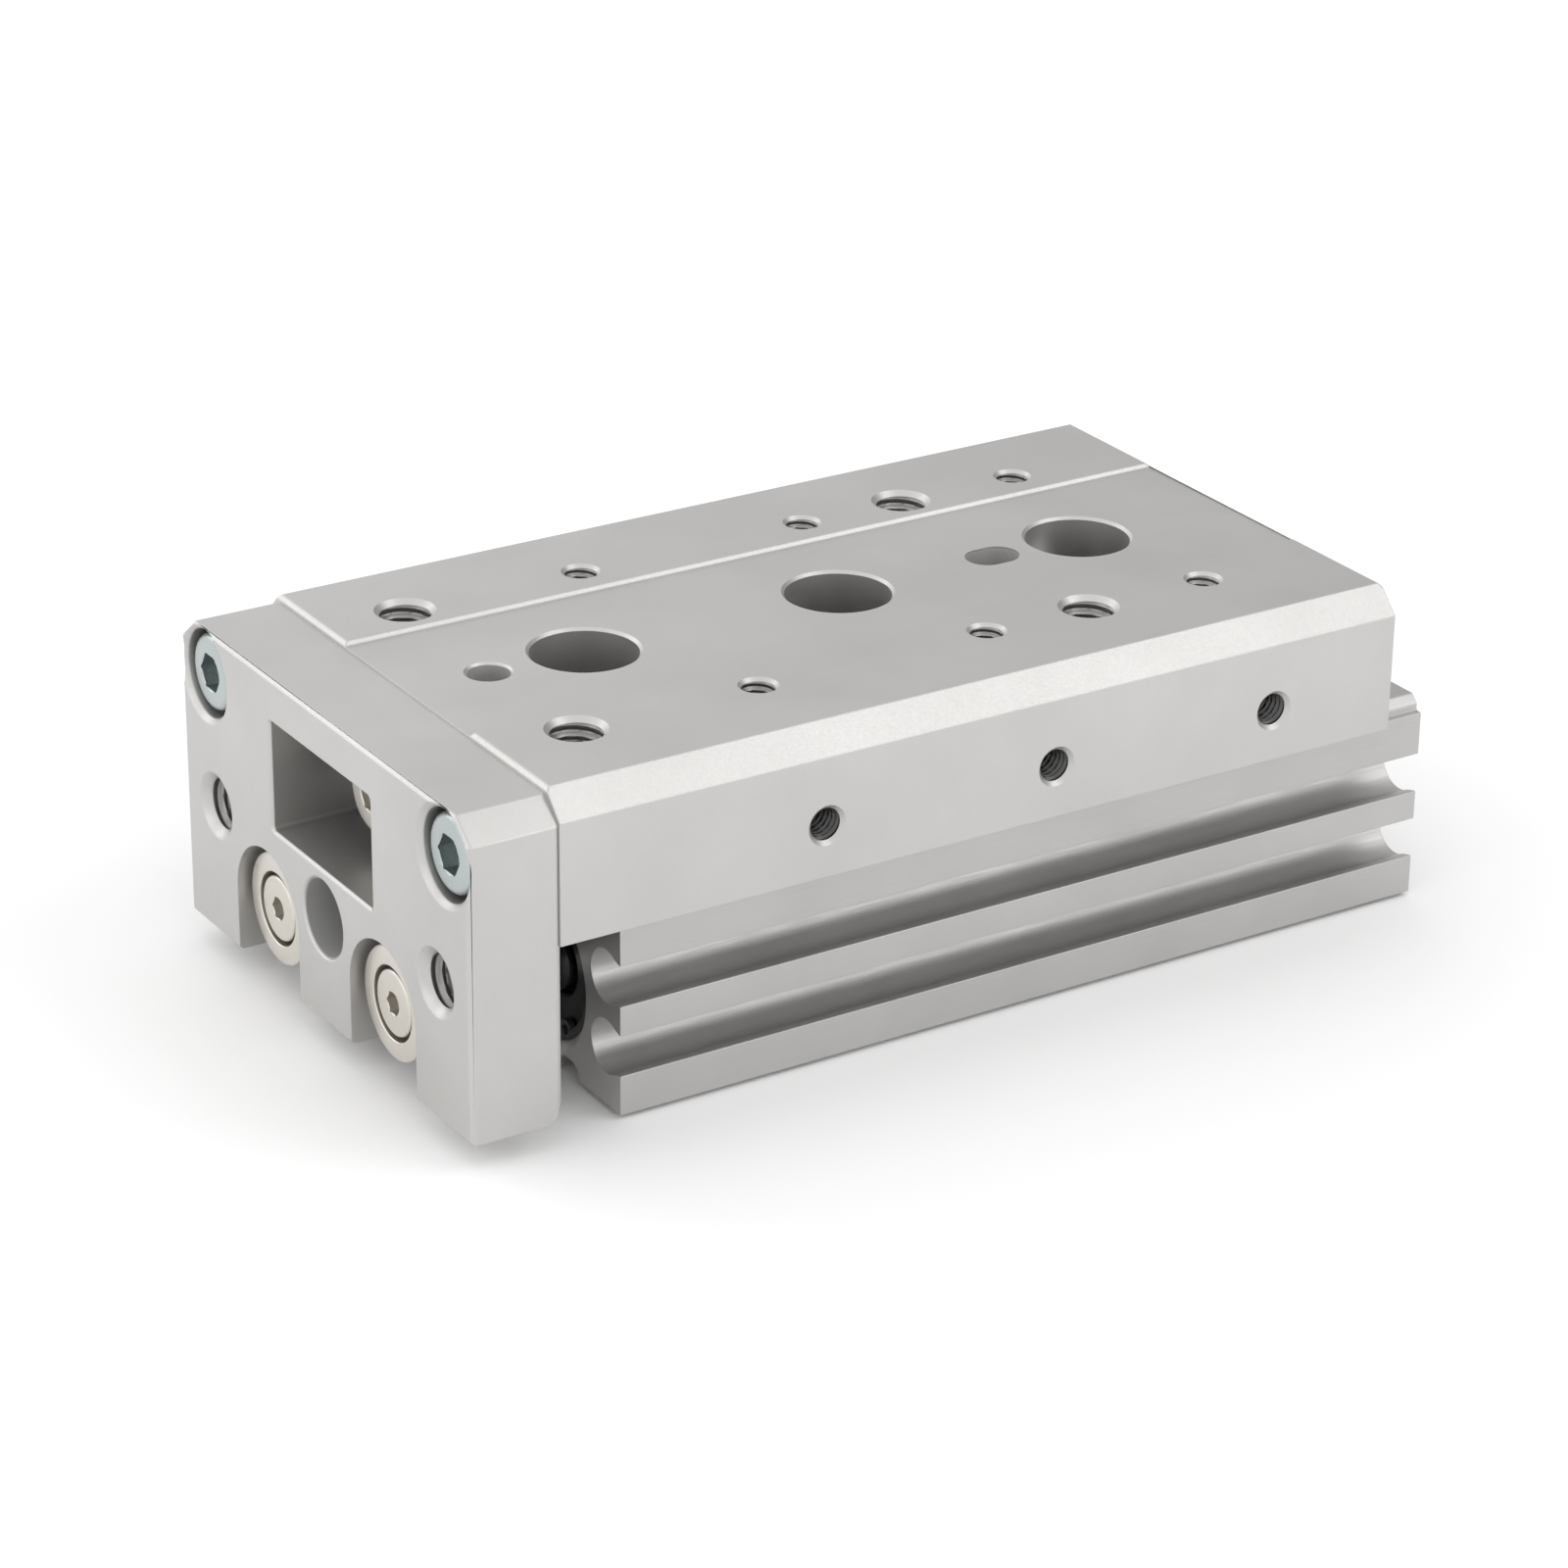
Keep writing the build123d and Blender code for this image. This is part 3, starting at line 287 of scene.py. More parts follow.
class Stock:
    """A closed mesh in millimetres that is cut to shape before it becomes a piece."""

    def __init__(self) -> None:
        """Starts with nothing."""
        self.mesh = bmesh.new()

    def drawn(self, outline: Sequence[Flat], at: Point, out: Point, length: float) -> "Stock":
        """Adds an outline drawn out along a direction.

        Args:
            outline: The points across the direction; for +X they are Y and Z.
            at: The place of the outline's origin at the start.
            out: The direction.
            length: How far it is drawn.

        Returns:
            This stock.
        """
        place = seat(at, out)
        rows = []
        for level in (0.0, length):
            rows.append([self.mesh.verts.new(place @ Vector((u, v, level))) for u, v in outline])
        self.mesh.faces.new(rows[0])
        self.mesh.faces.new(rows[1])
        self._join(rows[0], rows[1])
        return self._tidy()

    def stacked(self, sections: Sequence[tuple[float, Sequence[Flat]]]) -> "Stock":
        """Adds a shape that runs along X through sections, each a station and its outline."""
        return self.lofted([[(x, y, z) for y, z in outline] for x, outline in sections])

    def lofted(self, sections: Sequence[Sequence[Point]]) -> "Stock":
        """Adds a shape that runs through flat sections.

        Args:
            sections: The corners of each section, as many in each.

        Returns:
            This stock.
        """
        rows = [[self.mesh.verts.new(corner) for corner in section] for section in sections]
        self.mesh.faces.new(rows[0])
        self.mesh.faces.new(rows[-1])
        for one, other in zip(rows, rows[1:]):
            self._join(one, other)
        return self._tidy()

    def box(self, low: Point, high: Point) -> "Stock":
        """Adds a box between two corners."""
        outline = [(low[1], low[2]), (high[1], low[2]), (high[1], high[2]), (low[1], high[2])]
        return self.drawn(outline, (low[0], 0.0, 0.0), AHEAD, high[0] - low[0])

    def turned(
        self,
        profile: Sequence[tuple[float, ...]],
        at: Point = (0.0, 0.0, 0.0),
        out: Point = AHEAD,
        sides: int = 72,
        ring: bool = False,
    ) -> "Stock":
        """Adds a turned shape.

        Args:
            profile: Points as way along the axis, radius, and optionally the depth of a knurl.
            at: The place where the way along the axis is zero.
            out: The direction of the axis.
            sides: The number of sides round it.
            ring: True where the profile closes on itself and doesn't reach the axis.

        Returns:
            This stock.
        """
        place = seat(at, out)
        rows = []
        for way, radius, *knurl in profile:
            count = sides if radius > 1e-6 else 1
            row = []
            for i in range(count):
                reach = radius - (knurl[0] if knurl and i % 2 else 0.0)
                angle = math.tau * i / sides
                spot = Vector((reach * math.cos(angle), reach * math.sin(angle), way))
                row.append(self.mesh.verts.new(place @ spot))
            rows.append(row)
        for one, other in zip(rows, rows[1:] + ([rows[0]] if ring else [])):
            self._join(one, other)
        return self._tidy()

    def thread(
        self, thread: Thread, at: Point, out: Point, start: float, end: float, inside: bool
    ) -> "Stock":
        """Adds a helical thread, either a lining for a hole or a threaded shank.

        Args:
            thread: The thread's sizes.
            at: The mouth of the hole or the seat of the head.
            out: The direction out of the hole or head.
            start: The depth at which the thread begins.
            end: The depth at which it ends.
            inside: True for the lining of a hole.

        Returns:
            This stock.
        """
        place = seat(at, out)
        around, per_turn = 36, 10
        count = max(2, round((end - start) / thread.pitch * per_turn))
        low, high = thread.core, thread.major - 0.015
        rows = []
        for i in range(count + 1):
            way = start + (end - start) * i / count
            ease = min(1.0, i / per_turn, (count - i) / per_turn)
            row = []
            for j in range(around):
                phase = (way / thread.pitch + j / around) % 1.0
                crest = min(1.0, max(0.0, (abs(phase - 0.5) * 2.0 - 0.1) / 0.75))
                if inside:
                    reach = high - (high - low) * (1.0 - crest) * ease
                else:
                    reach = low + (high - low) * crest * max(ease, 0.25)
                angle = math.tau * j / around
                spot = Vector((reach * math.cos(angle), reach * math.sin(angle), -way))
                row.append(self.mesh.verts.new(place @ spot))
            rows.append(row)
        for one, other in zip(rows, rows[1:]):
            self._join(one, other)
        edges = []
        for way in (start, end):
            reach = thread.major + 0.02 if inside else 0.0
            ring = []
            for j in range(around if inside else 1):
                angle = math.tau * j / around
                spot = Vector((reach * math.cos(angle), reach * math.sin(angle), -way))
                ring.append(self.mesh.verts.new(place @ spot))
            edges.append(ring)
        self._join(rows[0], edges[0])
        self._join(rows[-1], edges[1])
        if inside:
            self._join(edges[0], edges[1])
        return self._tidy()

    def ball(self, at: Point, radius: float) -> "Stock":
        """Adds a ball.

        Args:
            at: Its centre.
            radius: Its radius.

        Returns:
            This stock.
        """
        place = Matrix.Translation(at)
        bmesh.ops.create_uvsphere(
            self.mesh, u_segments=28, v_segments=16, radius=radius, matrix=place
        )
        return self

    def cut(self, *tools: "Stock") -> "Stock":
        """Cuts tools away, one after the other.

        Args:
            tools: The shapes to take away.

        Returns:
            This stock.
        """
        for tool in tools:
            self._combine(tool, "DIFFERENCE")
        return self

    def joined(self, other: "Stock") -> "Stock":
        """Joins another shape to this one."""
        return self._combine(other, "UNION")

    def _combine(self, other: "Stock", way: str) -> "Stock":
        """Combines another shape with this one.

        Args:
            other: The other shape, used up by this.
            way: DIFFERENCE or UNION.

        Returns:
            This stock.
        """
        blank, cutter = self._object("blank"), other._object("cutter")
        step = blank.modifiers.new("combine", "BOOLEAN")
        step.operation = way
        step.solver = "EXACT"
        step.object = cutter
        self._take(blank)
        bpy.data.objects.remove(cutter)
        return self

    def eased(self, width: float, sides: int = 2, angle: float = 35.0) -> "Stock":
        """Rounds every sharp edge.

        Args:
            width: The width of the rounding.
            sides: The number of faces across it.
            angle: The least angle in degrees of an edge that is rounded.

        Returns:
            This stock.
        """
        bmesh.ops.remove_doubles(self.mesh, verts=self.mesh.verts, dist=1e-4)
        blank = self._object("blank")
        step = blank.modifiers.new("ease", "BEVEL")
        step.width = width
        step.segments = sides
        step.limit_method = "ANGLE"
        step.angle_limit = math.radians(angle)
        step.use_clamp_overlap = False
        step.miter_outer = "MITER_ARC"
        self._take(blank)
        return self

    def piece(
        self,
        name: str,
        finish: Finish,
        carrier: Carrier,
        slot: str,
        nodes: Sequence[str] = (),
        crease: float = 38.0,
    ) -> bpy.types.Object:
        """Turns the stock into a piece of the object.

        Args:
            name: The piece's name.
            finish: Its finish.
            carrier: The body that it rides on.
            slot: A material slot name; not used.
            nodes: The frame's nodes that it stands for.
            crease: The least angle in degrees that stays a crease.

        Returns:
            The piece.
        """
        self.mesh.transform(Matrix.Scale(MM, 4))
        obj = self._object(name)
        obj.data.polygons.foreach_set("use_smooth", [True] * len(obj.data.polygons))
        obj.data.set_sharp_from_angle(angle=math.radians(crease))
        level = obj.modifiers.new("level", "WEIGHTED_NORMAL")
        level.keep_sharp = True
        level.weight = 60
        obj.data.materials.append(finish.material())
        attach(obj, carrier.value)
        if nodes:
            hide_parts(*nodes)
        LOG.info("%s: %d faces", name, len(obj.data.polygons))
        return obj

    def _join(self, one: list, other: list) -> None:
        """Closes the band between two rows of corners, either of which may be one point.

        Args:
            one: The corners of the first row.
            other: The corners of the second row.
        """
        if len(one) == 1 and len(other) == 1:
            return
        count = max(len(one), len(other))
        for i in range(count):
            k = (i + 1) % count
            band = [one[i], one[k]] if len(one) > 1 else [one[0]]
            band += [other[k], other[i]] if len(other) > 1 else [other[0]]
            self.mesh.faces.new(band)

    def _tidy(self) -> "Stock":
        """Turns every face outwards."""
        bmesh.ops.recalc_face_normals(self.mesh, faces=self.mesh.faces)
        return self

    def _object(self, name: str) -> bpy.types.Object:
        """Moves the mesh into an object.

        Args:
            name: The object's name.

        Returns:
            The object.
        """
        data = bpy.data.meshes.new(name)
        self.mesh.to_mesh(data)
        self.mesh.free()
        obj = bpy.data.objects.new(name, data)
        bpy.context.scene.collection.objects.link(obj)
        return obj

    def _take(self, blank: bpy.types.Object) -> None:
        """Takes the finished steps of an object back into this stock.

        Args:
            blank: The object, used up by this.
        """
        graph = bpy.context.evaluated_depsgraph_get()
        data = bpy.data.meshes.new_from_object(blank.evaluated_get(graph))
        self.mesh = bmesh.new()
        self.mesh.from_mesh(data)
        bpy.data.objects.remove(blank)
        bpy.data.meshes.remove(data)


def hole(
    at: Point, out: Point, radius: float, depth: float, mouth: float = 0.0, rise: float = 0.5
) -> Stock:
    """Makes the tool for a round hole, bevelled out to the mouth's radius if that is given."""
    rim = [(rise, mouth + rise), (radius - mouth, radius)] if mouth else [(rise, radius)]
    return Stock().turned([(rise, 0.0), *rim, (-depth, radius), (-depth, 0.0)], at, out)


def plug(ends: Flat, radius: float) -> list[Flat]:
    """Draws the profile of a plain round bar between two stations."""
    return [(ends[0], 0.0), (ends[0], radius), (ends[1], radius), (ends[1], 0.0)]


def start_of(thread: Thread, mouth: float) -> float:
    """Gives the depth at which a countersunk hole meets the crests of its thread."""
    return mouth - thread.core - 0.1


def tapped(at: Point, out: Point, thread: Thread, depth: float, mouth: float) -> Stock:
    """Makes the tool for a tapped blind hole with a drilled tip.

    Args:
        at: The middle of its mouth.
        out: The direction out of it.
        thread: The thread.
        depth: The depth of the thread.
        mouth: The radius of its bevelled mouth.

    Returns:
        The tool.
    """
    wall, core = thread.major, thread.core
    start = start_of(thread, mouth)
    profile = [(0.5, 0.0), (0.5, mouth + 0.5), (-start, mouth - start), (-start, wall)]
    profile += [(-depth, wall)]
    profile += [(core - wall - depth, core), (core - wall - depth - 0.6 * core, 0.0)]
    return Stock().turned(profile, at, out)


@dataclass(frozen=True)
class SocketScrew:
    """A socket screw, in millimetres from the seat of its head."""

    thread: Thread
    head: float
    height: float
    socket: float
    socket_depth: float
    length: float
    knurled: bool = True
    crown: float = 0.36

    def into(self, stock: Stock, at: Point, out: Point) -> Stock:
        """Adds this screw to a stock.

        Args:
            stock: The stock that it joins.
            at: The seat of its head.
            out: The direction from the seat to the top of the head.

        Returns:
            The stock.
        """
        knurl = 0.045 if self.knurled else 0.0
        crown = self.crown
        profile = [
            (0.0, 0.0),
            (0.0, self.head - 0.12),
            (0.1, self.head, knurl),
            (self.height - crown - 0.05, self.head, knurl),
            *arc((self.height - crown, self.head - crown), crown, 88.0, 0.0, 6),
            (self.height, 0.0),
        ]
        head = Stock().turned(profile, at, out, 96)
        reach = self.socket / math.sqrt(3.0)
        corners = [
            (reach * math.cos(math.tau * i / 6), reach * math.sin(math.tau * i / 6))
            for i in range(6)
        ]
        top = Vector(at) + Vector(out) * (self.height - self.socket_depth)
        floor = Stock().drawn(corners, tuple(top), out, self.socket_depth + 1.0)
        rim = Vector(at) + Vector(out) * self.height
        lead = [(0.5, 0.0), (0.5, reach + 0.45), (-0.05, reach - 0.1), (-0.05, 0.0)]
        head.cut(floor, Stock().turned(lead, tuple(rim), out, 48))
        tip = (-self.socket_depth * 0.3, 0.0)
        cone = [(0.2, 0.0), (0.2, self.socket * 0.49), (0.0, self.socket * 0.49), tip]
        head.cut(Stock().turned(cone, tuple(top), out, 36))
        data = bpy.data.meshes.new("head")
        head.mesh.to_mesh(data)
        head.mesh.free()
        stock.mesh.from_mesh(data)
        bpy.data.meshes.remove(data)
        return stock.thread(self.thread, at, out, 0.0, self.length, inside=False)


@dataclass(frozen=True)
class Layout:
    """Stations along X, heights and half widths that the sub-assemblies share, in millimetres."""

    front: float = 38.35
    joint: float = 31.85
    body_front: float = 26.65
    body_rear: float = -38.35
    table_rear: float = -34.15
    top: float = 24.5
    ceiling: float = 21.0
    block_top: float = 20.4
    deck: float = 15.0
    half_table: float = 20.0
    half_body: float = 18.5
    rod_y: float = 8.149
    rod_z: float = 6.5
    track_y: float = 9.3
    track_z: float = 17.6
    plate_screw: Flat = (16.65, 20.64)
    mount_x: tuple[float, ...] = (18.45, -1.55, -21.55)
    block_screws: tuple[Flat, ...] = ((24.2, 3.4), (24.2, -3.4), (11.45, 3.4), (11.45, -3.4))


@dataclass(frozen=True)
class SlideBody:
    """The extruded body with its two cylinder bores."""

    layout: Layout
    groove_middle: float = 16.7
    groove_radius: float = 1.9
    groove_mouth: float = 1.4
    groove_lip_angle: float = 58.0
    groove_heights: tuple[float, ...] = (9.3, 4.3)
    deck_half: float = 17.4
    deck_edge: float = 0.6
    ledge: float = 18.0
    shoulder: float = 13.9
    foot_inner: float = 13.0
    land: float = 10.6
    relief: float = 1.15
    relief_radius: float = 0.9
    bore_steps: tuple[Flat, ...] = (
        (27.15, 6.45),
        (25.95, 5.25),
        (25.85, 5.25),
        (25.85, 5.6),
        (25.25, 5.6),
        (25.25, 5.25),
        (15.25, 5.25),
        (15.25, 4.0),
        (-31.35, 4.0),
        (-31.35, 4.5),
        (-36.95, 4.5),
        (-36.95, 4.85),
        (-37.55, 4.85),
        (-37.55, 4.5),
        (-37.65, 4.5),
        (-38.85, 5.7),
    )
    sink_radius: float = 3.75
    sink_depth: float = 4.6
    through_radius: float = 2.15
    block_hole: Flat = (1.03, 4.1)
    pin_radius: float = 1.5
    pin_depth: float = 3.0
    pin_mouth: float = 1.65
    slot_length: float = 4.0
    port_mouth: float = 2.75
    port_x: Flat = (14.7, -30.8)
    port_depth: float = 4.0
    duct: Flat = (-26.6, -4.5)
    duct_radius: float = 0.5
    softness: float = 0.11

    def outline(self) -> list[Flat]:
        """Draws the extruded section, anticlockwise from the near upper corner.

        Returns:
            Points in Y and Z.
        """
        side, deck = self.layout.half_body, self.layout.deck
        edge = deck - self.deck_edge
        near = [(self.deck_half, deck), (self.ledge, edge), (self.ledge, self.shoulder)]
        near += [(side, self.shoulder)]
        for z in self.groove_heights:
            near.append((side, z + self.groove_mouth))
            lip = self.groove_lip_angle
            near += arc((self.groove_middle, z), self.groove_radius, lip, 360.0 - lip, 56)
            near.append((side, z - self.groove_mouth))
        near.append((side, 0.0))
        foot = self._foot()
        far = [(-side, 0.0), (-side, self.shoulder), (-self.ledge, self.shoulder)]
        far += [(-self.ledge, edge), (-self.deck_half, deck)]
        return near + foot + [(-y, z) for y, z in reversed(foot)] + far

    def _foot(self) -> list[Flat]:
        """Draws the near relief of the underside, with its rounded inner corners.

        Returns:
            Points in Y and Z.
        """
        r, high = self.relief_radius, self.relief
        outer = arc((self.foot_inner - r, high - r), r, 0.0, 90.0, 8)
        inner = arc((self.land + r, high - r), r, 90.0, 180.0, 8)
        return [(self.foot_inner, 0.0), *outer, *inner, (self.land, 0.0)]

    def build(self) -> None:
        """Builds the body and the threads of its air ports."""
        place = self.layout
        length = place.body_front - place.body_rear
        body = Stock().drawn(self.outline(), (place.body_rear, 0.0, 0.0), AHEAD, length)
        bores = [(self.bore_steps[0][0], 0.0), *self.bore_steps, (self.bore_steps[-1][0], 0.0)]
        for _, side in SIDES:
            body.cut(Stock().turned(bores, (0.0, side * place.rod_y, place.rod_z), AHEAD, 96))
        wide, thin, deck = self.sink_radius, self.through_radius, place.deck
        sink = [(0.5, 0.0), (0.5, wide), (-self.sink_depth, wide), (-self.sink_depth, thin)]
        sink += [(0.3 - deck, thin), (-0.5 - deck, thin + 0.8), (-0.5 - deck, 0.0)]
        for x in place.mount_x:
            body.cut(Stock().turned(sink, (x, 0.0, deck), UP))
        for x, y in place.block_screws:
            body.cut(hole((x, y, deck), UP, *self.block_hole))
        pin, slot = [(a + b) / 2.0 for a, b in zip(place.mount_x, place.mount_x[1:])]
        radius, deep = self.pin_radius, self.pin_depth
        body.cut(hole((pin, 0.0, 0.0), DOWN, radius, deep, self.pin_mouth))
        body.cut(rounded_slot((slot, 0.0, 0.0), DOWN, radius, self.slot_length, deep))
        side_y = (0.0, -1.0, 0.0)
        for x in self.port_x:
            mouth = (x, -place.half_body, place.rod_z)
            body.cut(tapped(mouth, side_y, M5, self.port_depth, self.port_mouth))
            body.cut(Stock().turned(plug(self.duct, self.duct_radius), mouth, side_y, 24))
        body.eased(self.softness)
        base, slot_name = Carrier.BASE, "body_aluminium"
        body.piece("body_extrusion", DRAWN_ALUMINIUM, base, slot_name, ["cylinder_body"])
        start = start_of(M5, self.port_mouth)
        lining = Stock()
        for x in self.port_x:
            mouth = (x, -place.half_body, place.rod_z)
            lining.thread(M5, mouth, side_y, start, self.port_depth, True)
        # The port thread lining carries painted shade for the inside of the port holes.
        lining.piece("port_threads", THREAD_PAINTED_SHADE, base, slot_name)


def rounded_slot(
    at: Point, out: Point, radius: float, length: float, depth: float, rise: float = 0.5
) -> Stock:
    """Makes the tool for a slot along X with round ends.

    Args:
        at: The middle of its mouth.
        out: The direction out of it, up or down.
        radius: The radius of its ends.
        length: Its overall length.
        depth: Its depth.
        rise: How far the tool stands out of the mouth.

    Returns:
        The tool.
    """
    half = length / 2.0 - radius
    outline = arc((half, 0.0), radius, -90.0, 90.0, 18) + arc((-half, 0.0), radius, 90.0, 270.0, 18)
    floor = Vector(at) - Vector(out) * depth
    return Stock().drawn(outline, tuple(floor), out, depth + rise)


def edge_break(x: float, z: float, ahead: int, size: float, half: float) -> Stock:
    """Makes the tool that breaks an upper edge across the width.

    Args:
        x: The station of the edge.
        z: Its height.
        ahead: 1 where the edge faces +X, -1 where it faces -X.
        size: The size of the break.
        half: Half the width.

    Returns:
        The tool.
    """
    spots = [(-size - 0.5, 0.5), (0.5, 0.5), (0.5, -size - 0.5)]
    outline = [(-(x + ahead * u), z + v) for u, v in spots]
    return Stock().drawn(outline, (0.0, -half - 1.0, 0.0), (0.0, 1.0, 0.0), 2.0 * half + 2.0)


@dataclass(frozen=True)
class SlideTable:
    """The channel-shaped table with its rails."""

    layout: Layout
    recess_half: float = 8.5
    recess_depth: float = 0.3
    recess_run: float = 0.2
    chamfer: Flat = (1.8, 1.85)
    lip: float = 18.3
    lip_bottom: float = 14.1
    skirt: float = 15.3
    rail_face: float = 9.7
    rail_back: float = 12.0
    rail_top: float = 19.7
    rail_height: float = 4.2
    thread_y: float = 11.5
    large_x: Flat = (25.7, -14.3)
    small_x: tuple[float, ...] = (12.05, -5.95, -23.95)
    large_depth: float = 3.5
    large_mouth: float = 2.12
    small_depth: float = 3.4
    small_mouth: float = 1.37
    side_z: float = 17.8
    side_depth: float = 4.5
    side_mouth: float = 1.42
    pin_radius: float = 1.5
    pin_mouth: float = 1.65
    pin_depth: float = 2.2
    slot_length: float = 4.0
    access: Flat = (3.7, 4.0)
    screw_hole: Flat = (1.53, 7.5)
    groove: float = 1.08
    edge: float = 0.3
    softness: float = 0.1

    def outline(self) -> list[Flat]:
        """Draws the section.

        Returns:
            Points in Y and Z.
        """
        top, side = self.layout.top, self.layout.half_table
        half = [
            (self.recess_half, top - self.recess_depth),
            (self.recess_half + self.recess_run, top),
            (side - self.chamfer[0], top),
            (side, top - self.chamfer[1]),
            (side, self.lip_bottom),
            (self.lip, self.lip_bottom),
            (self.lip, self.skirt),
            (self.rail_back, self.skirt),
            (self.rail_back, self.rail_top),
            (self.rail_face, self.rail_top),
            (self.rail_face, self.layout.ceiling),
        ]
        return both_halves(half)

    def build(self) -> None:
        """Builds the table, its threads and its rails."""
        place = self.layout
        top, side = place.top, place.half_table
        length = place.joint - place.table_rear
        table = Stock().drawn(self.outline(), (place.table_rear, 0.0, 0.0), AHEAD, length)
        table.cut(edge_break(place.joint, top, 1, self.edge, side))
        table.cut(edge_break(place.table_rear, top, -1, self.edge, side))
        table.eased(self.softness)
        large, small, flank = Stock(), Stock(), Stock()
        for hand in (1, -1):
            for x in self.large_x:
                at = (x, hand * self.thread_y, top)
                table.cut(tapped(at, UP, M4, self.large_depth, self.large_mouth))
                start = start_of(M4, self.large_mouth)
                large.thread(M4, at, UP, start, self.large_depth, True)
            for x in self.small_x:
                at = (x, hand * self.thread_y, top)
                table.cut(tapped(at, UP, M25, self.small_depth, self.small_mouth))
                start = start_of(M25, self.small_mouth)
                small.thread(M25, at, UP, start, self.small_depth, True)
                at = (x, hand * side, self.side_z)
                out = (0.0, float(hand), 0.0)
                table.cut(tapped(at, out, M25, self.side_depth, self.side_mouth))
                start = start_of(M25, self.side_mouth)
                flank.thread(M25, at, out, start, self.side_depth, True)
            at = (place.joint, hand * place.plate_screw[0], place.plate_screw[1])
            table.cut(hole(at, AHEAD, *self.screw_hole))
        floor = top - self.recess_depth
        pin, slot = [(x, 0.0, floor) for x in self.large_x]
        radius, deep = self.pin_radius, self.pin_depth
        table.cut(hole(pin, UP, radius, deep, self.pin_mouth))
        table.cut(rounded_slot(slot, UP, radius, self.slot_length, deep))
        for x in place.mount_x:
            table.cut(hole((x, 0.0, floor), UP, *self.access, self.access[0] + 0.2))
        finish, carrier, slot = MILLED_ALUMINIUM, Carrier.SLIDE, "table_aluminium"
        table.piece("table_channel", finish, carrier, slot, ["table"])
        bores = self._bores(floor)
        bores.piece("table_pin_bores", REAMED_BORE, carrier, slot)
        # The large and small thread linings carry painted shade for the inside of the holes.
        large.piece("table_threads_large", THREAD_PAINTED_SHADE, carrier, slot)
        small.piece("table_threads_small", THREAD_PAINTED_SHADE, carrier, slot)
        # The flank thread lining is near black: painted shade inside the side holes.
        flank.piece("table_threads_flank", DEEP_THREAD_PAINTED_SHADE, carrier, slot)
        for name, hand in SIDES:
            self._rail(name, hand)

    def _bores(self, floor: float) -> Stock:
        """Builds the reamed walls and floors of the pin hole and the slot.

        Args:
            floor: The height of the recess that they open into.

        Returns:
            The walls.
        """
        low, high = -self.pin_depth - 0.05, -0.16
        outer, inner = self.pin_radius + 0.01, self.pin_radius - 0.04
        bed = low + 0.1
        wall = [(low, 0.0), (low, outer), (high, outer), (high, inner), (bed, inner), (bed, 0.0)]
        bores = Stock().turned(wall, (self.large_x[0], 0.0, floor), UP)
        spot = (self.large_x[1], 0.0, floor + high)
        long = self.slot_length
        slot = rounded_slot(spot, UP, outer, long + 0.02, high - low, 0.0)
        slot.cut(rounded_slot(spot, UP, inner, long - 0.08, high - bed))
        return bores.joined(slot)

    def _rail(self, name: str, hand: int) -> None:
        """Builds one hardened rail.

        Args:
            name: The side's name.
            hand: 1 for the +Y side, -1 for the other.
        """
        place = self.layout
        low, high = self.rail_top - self.rail_height, self.rail_top
        groove = arc((place.track_y, place.track_z), self.groove, 68.0, -68.0, 24)
        outline = [(self.rail_back, low), (self.rail_back, high), (self.rail_face, high)]
        outline += groove + [(self.rail_face, low)]
        outline = [(hand * y, z) for y, z in outline]
        start = (place.table_rear + 0.5, 0.0, 0.0)
        rail = Stock().drawn(outline, start, AHEAD, place.joint - place.table_rear - 1.0)
        rail.eased(0.12)
        node = f"raceway_rail_{name}"
        rail.piece(f"rail_{name}", GROUND_STEEL, Carrier.SLIDE, "hardened_steel", [node])


